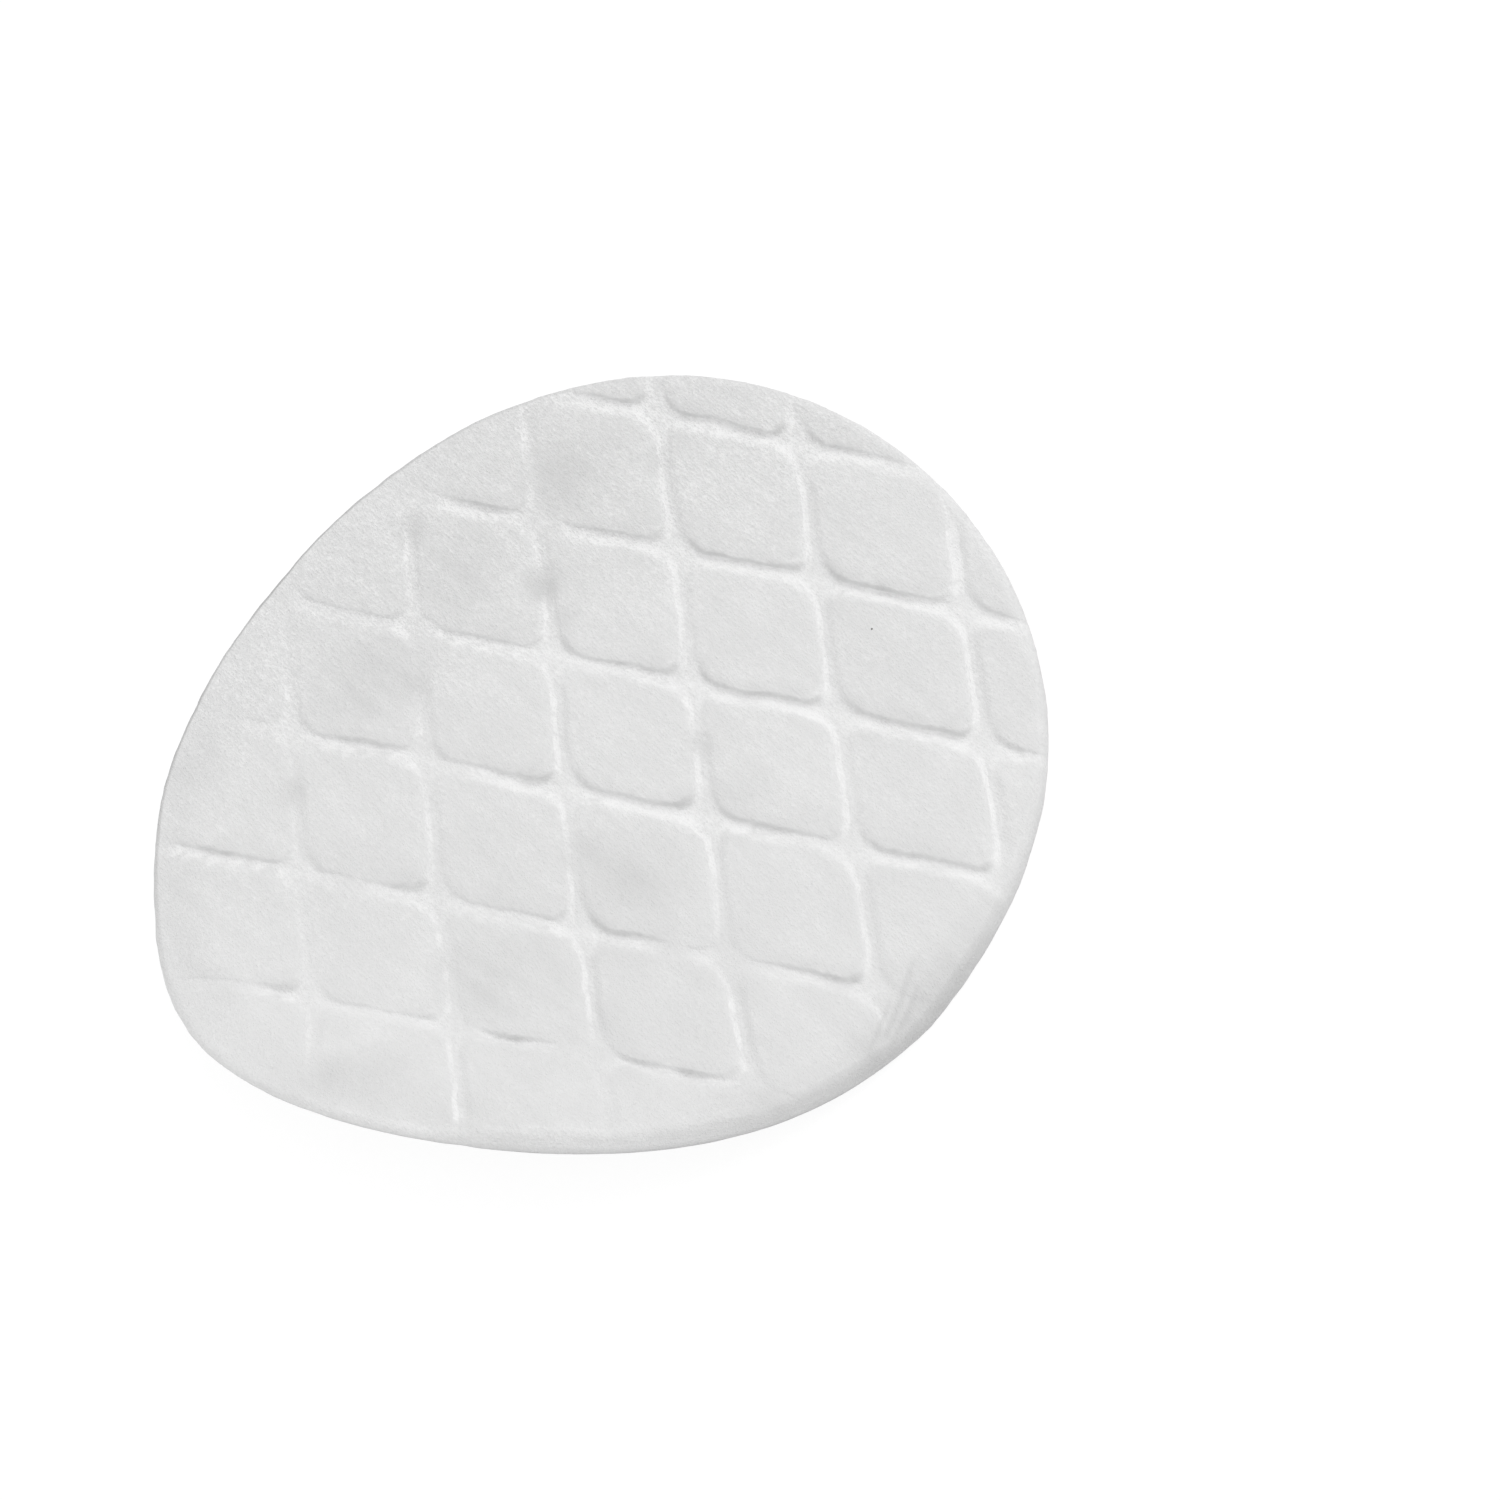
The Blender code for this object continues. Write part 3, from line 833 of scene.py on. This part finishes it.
def cotton_finish(pad, places, shares):
    """Firmness at each point (0 in a thin spot, 0.5 in a pillow, 1 in a firm groove) with painted light and
    shade in it, and the painted shade of the cut edge and the groove walls.
    """
    web = WebPlaces(pad, places)
    firm = ground_firmness(pad, web)
    # The bright strip lifts the tone towards the brightest colour: partly pressed cotton, partly painted
    # highlight
    firm = firm + (1.0 - firm) * pressed_and_highlight_strip(pad, web) * web.press
    # Painted shade on the cross grooves' steep walls and above them darkens the tone
    painted_wall_shade, drawn = painted_groove_shade(pad, web)
    along_cross = smooth_step(1.5 * web.cross) * (web.cross_offset > 0.0) * web.press
    firm = firm * (1.0 - np.clip(PAINTED_SHADE_ABOVE * drawn + PAINTED_LINE_SHADE * painted_wall_shade, 0.0, DARKEST) * along_cross)
    painted_shading = painted_edge_shading(pad, web, shares)
    # Painted light where the edge shading is below 0; the painted shade above 0 goes to the grey mix
    firm = PILLOW_FIRMNESS + shares * (firm - PILLOW_FIRMNESS) - np.minimum(painted_shading, 0.0)
    return firm, np.clip(painted_shading, 0.0, 1.0) + PAINTED_WALL_GREY * painted_wall_shade * along_cross * web.press * shares


def fluff(pad, places):
    """How loose the surface fibres are at each place."""
    x, y = stretch(pad, places[:, 0], places[:, 1])
    return (FLUFF + UPPER_LEFT_FLUFF * smooth_step((y - 0.8 * x - 6.0 * MM) / (18.0 * MM))
            + LOWER_RIGHT_FLUFF * smooth_step((0.6 * x - y) / (20.0 * MM))
            + THIN_FLUFF * (1.0 - spots_share(THIN_AND_SHADED_SPOTS, x, y))
            + FLUFF_BLOTCHES * blotches(x, y, 3.0 * MM, 69))


def wobble(x, y, seed):
    """How far the web is drawn one way at each place."""
    return sum(far * MM * blotches(x, y, size * MM, seed + number)
               for number, (far, size) in enumerate(WOBBLES))


def web_points(pad, places, shares):
    """Lattice places and shares of the thickness, as points of the fluffed and of the plain curled web."""
    x, y = stretch(pad, places[:, 0], places[:, 1])
    low = back_height(pad, places[:, 0], places[:, 1])
    high = face_height(pad, places[:, 0], places[:, 1])
    height = low + shares * (high - low)
    radius = np.hypot(x, y)
    inward = smooth_step((pad.radius - radius) / WOBBLE_FADE) * shares
    on_edge = smooth_step(1.0 - (pad.radius - radius) / EDGE_LAYERS_WIDTH) * (shares < 1.0)
    along_rim = np.arctan2(y, x) * pad.radius
    layers = MM * sum(
        deep * noise(along_rim / (length * MM) + NOISE_TABLE / 2, height / (high * MM), seed)
        for deep, length, high, seed in EDGE_LAYERS)
    out = 1.0 + on_edge * layers / np.maximum(radius, MM)
    flat = np.stack(((x + inward * wobble(x, y, 41)) * out, (y + inward * wobble(x, y, 43)) * out, height),
                    axis=1)
    return turn_on_floor(curl(flat)), turn_on_floor(curl(np.stack((x, y, height), axis=1)))


def add_mesh_object(name, points, faces):
    mesh = bpy.data.meshes.new(name)
    mesh.from_pydata(points.tolist(), [], faces)
    if mesh.validate():
        raise RuntimeError("the mesh of " + name + " had faulty faces")
    piece = bpy.data.objects.new(name, mesh)
    bpy.context.scene.collection.objects.link(piece)
    shape = bmesh.new()
    shape.from_mesh(mesh)
    if any(not edge.is_manifold for edge in shape.edges):
        raise RuntimeError(name + " isn't closed")
    bmesh.ops.triangulate(shape, faces=[face for face in shape.faces if len(face.verts) > 4])
    bmesh.ops.recalc_face_normals(shape, faces=shape.faces)
    shape.to_mesh(mesh)
    shape.free()
    mesh.shade_smooth()
    return piece


def add_node(tree, kind, entries=(), **settings):
    """A node with its settings made, and its entries linked to a socket or set to a plain value."""
    node = tree.nodes.new(kind)
    for name, value in settings.items():
        setattr(node, name, value)
    for name, value in dict(entries).items():
        if isinstance(value, bpy.types.NodeSocket):
            tree.links.new(value, node.inputs[name])
        else:
            node.inputs[name].default_value = value
    return node


def add_sum(tree, operation, *values):
    """The result of a Math node on these sockets and numbers."""
    return add_node(tree, "ShaderNodeMath", enumerate(values), operation=operation).outputs[0]


def point_values(tree, name):
    """The values that the mesh holds at its points under that name."""
    return add_node(tree, "ShaderNodeAttribute", attribute_name=name).outputs["Fac"]


def object_places(tree):
    return add_node(tree, "ShaderNodeTexCoord").outputs["Object"]


def grain_layer(tree, turn, stretch_along, scale, detail):
    """Noise that is turned so that x runs along the fibres, and drawn out along them."""
    turned = add_node(tree, "ShaderNodeMapping", vector_type="POINT", entries={
        "Vector": object_places(tree), "Rotation": (0.0, 0.0, -turn)})
    drawn = add_node(tree, "ShaderNodeMapping", vector_type="POINT", entries={
        "Vector": turned.outputs["Vector"], "Scale": (1.0 / stretch_along, 1.0, 1.0)})
    return add_node(tree, "ShaderNodeTexNoise", {
        "Vector": drawn.outputs["Vector"], "Scale": scale, "Detail": detail}).outputs["Fac"]


def grain_height(tree):
    """Height of the fibre grain: all its layers added up."""
    height = None
    for turn, stretch_along, scale, detail, share in GRAIN_LAYERS:
        layer = grain_layer(tree, PAD_TURN + FIBRE_TURN + turn, stretch_along, scale, detail)
        height = layer if height is None else add_sum(tree, "MULTIPLY_ADD", layer, share, height)
    return height


def cotton_tone(tree, pad, height, density_and_painted_shading, fluffiness):
    """Colour of the web: grey where it is thin and where shade is painted, bright where it is pressed and
    where light is painted, and flecked by its grain.
    """
    flecks = add_node(tree, "ShaderNodeMapRange", clamp=False, entries={
        "Value": height, "From Min": GRAIN_RANGE[0], "From Max": GRAIN_RANGE[1],
        "To Min": -GRAIN_TONE, "To Max": GRAIN_TONE})
    stronger = add_sum(tree, "MULTIPLY_ADD", density_and_painted_shading, 1.2, 0.3)
    strength = add_sum(tree, "MULTIPLY", stronger, fluffiness)
    tone = add_sum(tree, "MULTIPLY_ADD", flecks.outputs["Result"], strength, density_and_painted_shading)
    ramp = add_node(tree, "ShaderNodeValToRGB", {"Fac": tone})
    stops = ramp.color_ramp.elements
    stops[0].position = 0.0
    stops[0].color = tuple(pad.thin_and_shade_colour)
    stops[1].position = 1.0
    stops[1].color = tuple(pad.pressed_and_highlight_colour)
    stops.new(PILLOW_FIRMNESS).color = tuple(pad.colour)
    return ramp.outputs[0]


def cotton_material(pad, foot):
    """Bleached cotton: matt, a little see-through, with fine streaks along its fibres."""
    material = bpy.data.materials.new("bleached_cotton")
    material.use_nodes = True
    tree = material.node_tree
    shader = tree.nodes["Principled BSDF"]
    for name, value in (("Roughness", 0.95), ("Specular IOR Level", 0.2), ("Subsurface Weight", pad.glow),
                        ("Subsurface Radius", (1.0, 1.0, 1.0)), ("Subsurface Scale", 0.5 * MM),
                        ("Sheen Weight", 0.10), ("Sheen Roughness", 0.6)):
        shader.inputs[name].default_value = value

    height = grain_height(tree)
    fluffiness = point_values(tree, "fluff")
    depth = add_sum(tree, "MULTIPLY_ADD", fluffiness, 0.15 * pad.streak_depth, 0.85 * pad.streak_depth)
    bump = add_node(tree, "ShaderNodeBump", {"Strength": 1.0, "Distance": depth, "Height": height})
    tree.links.new(bump.outputs["Normal"], shader.inputs["Normal"])

    # Painted shade: grey mixed in at the cut edge, on the groove walls and along the creases
    painted_shading = point_values(tree, "painted_shade")
    # Painted shade along each crease
    for crease in CREASES:
        painted_shading = add_sum(tree, "MULTIPLY_ADD", crease_share(tree, pad, foot, crease), CREASE_PAINTED_SHADE, painted_shading)
    tone = cotton_tone(tree, pad, height, point_values(tree, "density_and_painted_shading"), fluffiness)
    shade_mixed = add_node(tree, "ShaderNodeMix", data_type="RGBA", entries={
        "Factor": painted_shading, "A": tone, "B": tuple(pad.painted_shade_colour)})
    seeded = add_node(tree, "ShaderNodeMix", data_type="RGBA", entries={
        "Factor": fleck_share(tree, pad, foot), "A": shade_mixed.outputs["Result"], "B": SEED_COLOUR})
    tree.links.new(seeded.outputs["Result"], shader.inputs["Base Color"])
    return material


def crease_share(tree, pad, foot, crease):
    """1 along the line of a crease, 0 beside and beyond it."""
    start_x, start_y, end_x, end_y, width, _ = [size * MM for size in crease]
    ends = np.stack(unstretch(pad, [start_x, end_x], [start_y, end_y]), axis=1)
    start, end = web_points(pad, ends, np.ones(2))[0] - foot
    run = end - start
    length = math.hypot(run[0], run[1])
    placed = add_node(tree, "ShaderNodeMapping", vector_type="TEXTURE", entries={
        "Vector": object_places(tree), "Location": start,
        "Rotation": (0.0, 0.0, math.atan2(run[1], run[0]))})
    parts = add_node(tree, "ShaderNodeSeparateXYZ", {"Vector": placed.outputs["Vector"]})
    from_middle = add_sum(tree, "SUBTRACT", parts.outputs["X"], length / 2.0)
    shares = []
    for distance, inner, outer in ((from_middle, 0.2 * length, 0.5 * length),
                                   (parts.outputs["Y"], 0.1 * width, width)):
        share = add_node(tree, "ShaderNodeMapRange", interpolation_type="SMOOTHSTEP", entries={
            "Value": add_sum(tree, "ABSOLUTE", distance), "From Min": outer, "From Max": inner})
        shares.append(share.outputs["Result"])
    return add_sum(tree, "MULTIPLY", *shares)


def fleck_share(tree, pad, foot):
    """1 on the fleck of seed hull, 0 elsewhere."""
    fleck_x, fleck_y, radius = SEED_FLECK
    place = np.stack(unstretch(pad, [fleck_x], [fleck_y]), axis=1)
    middle = web_points(pad, place, np.ones(1))[0][0] - foot
    away = add_node(tree, "ShaderNodeVectorMath", {0: object_places(tree), 1: middle}, operation="DISTANCE")
    return add_node(tree, "ShaderNodeMapRange", {
        "Value": away.outputs["Value"], "From Min": radius, "From Max": 0.6 * radius}).outputs["Result"]


def grey_colour(level):
    return (level, level, level, 1.0)


def floor_material(stage):
    """A white floor that shows the camera its soft shadow only."""
    material = bpy.data.materials.new("pale_floor")
    material.use_nodes = True
    tree = material.node_tree
    tree.nodes.clear()
    lit = add_node(tree, "ShaderNodeBsdfDiffuse", {"Color": grey_colour(0.8)})
    shown = add_node(tree, "ShaderNodeBsdfDiffuse", {"Color": grey_colour(stage.shadow)})
    glow = add_node(tree, "ShaderNodeEmission", {"Strength": 1.04 - stage.shadow * 0.95})
    both = add_node(tree, "ShaderNodeAddShader", {0: shown.outputs[0], 1: glow.outputs[0]})
    show_directly(tree, "ShaderNodeOutputMaterial", lit, both)
    return material


def show_directly(tree, output, unseen, seen):
    """Show the one shader to the camera, a reflection or a clear piece, and light with the other."""
    path = add_node(tree, "ShaderNodeLightPath").outputs
    looked_at = add_sum(tree, "MAXIMUM", path["Is Camera Ray"], path["Is Glossy Ray"])
    looked_at = add_sum(tree, "MAXIMUM", looked_at, path["Is Transmission Ray"])
    mix = add_node(tree, "ShaderNodeMixShader", {0: looked_at, 1: unseen.outputs[0], 2: seen.outputs[0]})
    add_node(tree, output, {"Surface": mix.outputs[0]})


def set_world(stage):
    world = bpy.data.worlds.new("soft_room")
    bpy.context.scene.world = world
    world.use_nodes = True
    tree = world.node_tree
    tree.nodes.clear()
    room, white = [add_node(tree, "ShaderNodeBackground", {"Color": grey_colour(1.0), "Strength": strength})
                   for strength in (stage.room_light, 1.0)]
    show_directly(tree, "ShaderNodeOutputWorld", room, white)


def direction_to(turn, rise):
    """Unit vector from the middle of the pad: turn from +X towards +Y, rise from the floor."""
    return Vector((math.cos(turn) * math.cos(rise), math.sin(turn) * math.cos(rise), math.sin(rise)))


def add_lamp(stage):
    away = direction_to(stage.lamp_turn, stage.lamp_rise)
    data = bpy.data.lights.new("window_light", "AREA")
    data.shape = "DISK"
    data.size = stage.lamp_size
    data.energy = stage.lamp_level * math.pi ** 2 * stage.lamp_distance ** 2
    lamp = bpy.data.objects.new("window_light", data)
    bpy.context.scene.collection.objects.link(lamp)
    lamp.location = away * stage.lamp_distance
    lamp.rotation_euler = away.to_track_quat("Z", "Y").to_euler()


def add_camera(stage):
    data = bpy.data.cameras.new("camera")
    data.lens = stage.lens
    data.sensor_width = 36.0
    data.clip_start = 5.0 * MM
    data.clip_end = 20.0
    camera = bpy.data.objects.new("camera", data)
    bpy.context.scene.collection.objects.link(camera)
    turn = stage.camera_turn
    rise = stage.camera_rise
    roll = stage.camera_roll
    back = Vector((math.sin(turn) * math.cos(rise), -math.cos(turn) * math.cos(rise), math.sin(rise)))
    right = Vector((math.cos(turn), math.sin(turn), 0.0))
    up = back.cross(right)
    rolled_right = right * math.cos(roll) + up * math.sin(roll)
    rolled_up = up * math.cos(roll) - right * math.sin(roll)
    pose = Matrix((rolled_right, rolled_up, back)).transposed().to_4x4()
    pose.translation = Vector(stage.camera_place)
    camera.matrix_world = pose
    bpy.context.scene.camera = camera


def length_property(name, description, default, low, high, digits=4):
    return FloatProperty(name=name, description=description, default=default, min=low, max=high,
                         unit="LENGTH", precision=digits)


def share_property(name, description, default, low=0.0, high=1.0):
    return FloatProperty(name=name, description=description, default=default, min=low, max=high,
                         subtype="FACTOR")


def angle_property(name, description, degrees):
    return FloatProperty(name=name, description=description, default=math.radians(degrees), unit="ROTATION")


def colour_property(name, description, level):
    return FloatVectorProperty(name=name, description=description, default=grey_colour(level), size=4,
                               min=0.0, max=1.0, subtype="COLOR")


class CottonPadSizes(bpy.types.PropertyGroup):
    """Sizes and colour of the pad."""
    radius: length_property("Radius", "Radius of the die-cut web", 0.0285, 0.01, 0.06)
    loft: length_property("Loft", "Thickness on the crown of a pillow", 0.002, 0.0008, 0.006)
    crown_drop: share_property("Crown drop", "Share of the loft lost towards a pillow's shoulders",
                               0.08, 0.0, 0.4)
    pitch: length_property("Groove pitch", "Distance between neighbouring grooves", 0.0086, 0.004, 0.02)
    groove_floor: length_property("Groove floor", "Flat width at the bottom of a groove",
                                  0.00048, 0.0001, 0.002)
    steep_wall: length_property("Steep wall", "Width of the wall under a pillow's lower edge",
                                0.00014, 0.00005, 0.002, 5)
    easy_wall: length_property("Easy wall", "Width of the wall under a pillow's right edge",
                               0.00028, 0.0001, 0.002, 5)
    gentle_wall: length_property("Gentle wall", "Width of the wall under a pillow's left edge",
                                 0.00062, 0.0001, 0.003, 5)
    cross_floor: length_property("Cross floor", "Flat width at the bottom of a cross groove",
                                 0.00014, 0.0, 0.001, 5)
    soft_wall: length_property("Soft wall", "Width of the wall under a pillow's upper edge",
                               0.00080, 0.0001, 0.002, 5)
    # Brightness of a groove's floor: its density, and painted light against the groove's shade
    floor_density_and_light: share_property("Floor firmness", "How dense the cotton of a groove's floor is", 0.72)
    shoulder_width: length_property("Shoulder width", "Width of the soft shoulder above the wall",
                                    0.0011, 0.0002, 0.004)
    shoulder_share: share_property("Shoulder share", "Share of the groove's depth on the soft shoulder",
                                   0.25, 0.0, 0.9)
    groove_press: share_property("Groove press", "Share of the loft pressed away in a firm groove",
                                 0.23, 0.0, 0.8)
    long_press: share_property("Long press", "Depth of a long groove as a share of a cross groove's",
                               0.72, 0.1, 1.0)
    corner: length_property("Corner blend", "How widely the pillow corners are rounded",
                            0.0018, 0.0002, 0.004)
    waver: length_property("Waver", "How far the grooves waver from side to side", 0.00006, 0.0, 0.0005, 5)
    rim_pinch: share_property("Rim pinch", "Share of the loft lost at the cut edge", 0.15, 0.0, 0.6)
    thin_side_pinch: share_property("Thin side pinch", "Further share lost at the edge on the thin side",
                                    0.40, 0.0, 0.8)
    rim_pinch_width: length_property("Rim pinch width", "Width of the thinner band at the rim",
                                     0.004, 0.0005, 0.01)
    back_imprint: length_property("Back imprint", "Depth of the grooves' imprint on the back",
                                  0.00015, 0.0, 0.001, 5)
    back_imprint_width: length_property("Back imprint width", "From its middle line to the flat back",
                                        0.0014, 0.0003, 0.004)
    streak_depth: length_property("Streak depth", "Depth of the fine fibre streaks",
                                  0.000060, 0.0, 0.0002, 6)
    glow: share_property("Glow", "How far light soaks into the cotton", 0.3)
    colour: colour_property("Cotton", "Colour of the bleached cotton", 0.81)
    # Colour of thin cotton, and of the painted shade on the cross grooves' walls
    thin_and_shade_colour: colour_property("Thin cotton", "Colour where the web is thin", 0.72)
    # Grey of the painted shade on the cut edge, the creases and the cross grooves' walls
    painted_shade_colour: colour_property("Cut cotton", "Colour of the fibre ends at the cut edge", 0.42)
    # The brightest tone: pressed cotton, and the painted highlight of the strips and groove floors
    pressed_and_highlight_colour: colour_property("Pressed cotton", "Colour of the cotton in the grooves", 0.96)


class CottonStage(bpy.types.PropertyGroup):
    """Floor, light and camera."""
    floor_size: length_property("Floor size", "Side of the square floor", 6.0, 0.5, 20.0)
    shadow: share_property("Shadow", "How much of the light on the floor the camera sees", 0.14)
    room_light: FloatProperty(name="Room light", description="Strength of the even light from all round",
                              default=0.845, min=0.0, max=2.0)
    lamp_level: FloatProperty(name="Lamp level", default=0.20, min=0.0, max=5.0,
                              description="Light that the lamp gives a surface that faces it")
    lamp_size: length_property("Lamp size", "Width of the round soft lamp", 0.40, 0.01, 3.0)
    lamp_distance: length_property("Lamp distance", "From the pad to the lamp", 0.6, 0.1, 5.0)
    lamp_turn: angle_property("Lamp turn", "Direction of the lamp, from +X towards +Y", 0.0)
    lamp_rise: angle_property("Lamp rise", "Height of the lamp over the floor", 47.0)
    lens: FloatProperty(name="Lens", description="Focal length of the camera", default=78.624, min=10.0,
                        unit="CAMERA")
    camera_place: FloatVectorProperty(name="Camera place", description="Where the camera stands",
                                      default=(0.00035, -0.12144, 0.15946), size=3, unit="LENGTH",
                                      precision=5)
    camera_turn: angle_property("Camera turn", "Turn of the camera round the pad", -4.45)
    camera_rise: angle_property("Camera rise", "How steeply the camera looks down", 53.40)
    camera_roll: angle_property("Camera roll", "Roll of the camera about its own axis", -26.43)


class COTTON_OT_pad(bpy.types.Operator):
    """Make the quilted pad and show it in place of its plain solid."""
    bl_idname = "cotton.pad"
    bl_label = "Quilted pad"

    def execute(self, context):
        pad = context.scene.cotton_pad
        points, faces, attributes, foot = pad_mesh(pad)
        piece = add_mesh_object("quilted_pad", points, faces)
        for name, values in attributes.items():
            layer = piece.data.attributes.new(name, "FLOAT", "POINT")
            layer.data.foreach_set("value", values.astype(np.float32))
        piece.data.materials.append(cotton_material(pad, foot))
        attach(piece, BODY)
        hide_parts(CAD_NODE)
        return {"FINISHED"}


class COTTON_OT_stage(bpy.types.Operator):
    """Set the floor, the light and the camera."""
    bl_idname = "cotton.stage"
    bl_label = "Floor, light and camera"

    def execute(self, context):
        stage = context.scene.cotton_stage
        bpy.ops.object.select_all(action="DESELECT")
        bpy.ops.mesh.primitive_plane_add(size=stage.floor_size, location=(0.0, 0.0, 0.0))
        floor = context.active_object
        floor.name = "floor"
        floor.data.materials.append(floor_material(stage))
        set_world(stage)
        add_lamp(stage)
        add_camera(stage)
        context.scene.view_settings.view_transform = "Standard"
        return {"FINISHED"}


class COTTON_PT_panel(bpy.types.Panel):
    """Sizes of the pad and its stage."""
    bl_idname = "COTTON_PT_panel"
    bl_label = "Cotton pad"
    bl_space_type = "VIEW_3D"
    bl_region_type = "UI"
    bl_category = "Cotton pad"

    def draw(self, context):
        for group, operator in ((context.scene.cotton_pad, "cotton.pad"),
                                (context.scene.cotton_stage, "cotton.stage")):
            column = self.layout.column()
            for name in group.__annotations__:
                column.prop(group, name)
            column.operator(operator)


CLASSES = (CottonPadSizes, CottonStage, COTTON_OT_pad, COTTON_OT_stage, COTTON_PT_panel)


def register():
    for item in CLASSES:
        bpy.utils.register_class(item)
    bpy.types.Scene.cotton_pad = PointerProperty(type=CottonPadSizes)
    bpy.types.Scene.cotton_stage = PointerProperty(type=CottonStage)


def unregister():
    del bpy.types.Scene.cotton_stage
    del bpy.types.Scene.cotton_pad
    for item in reversed(CLASSES):
        bpy.utils.unregister_class(item)


def main():
    register()
    bpy.ops.cotton.pad()
    bpy.ops.cotton.stage()


if __name__ == "__main__":
    main()
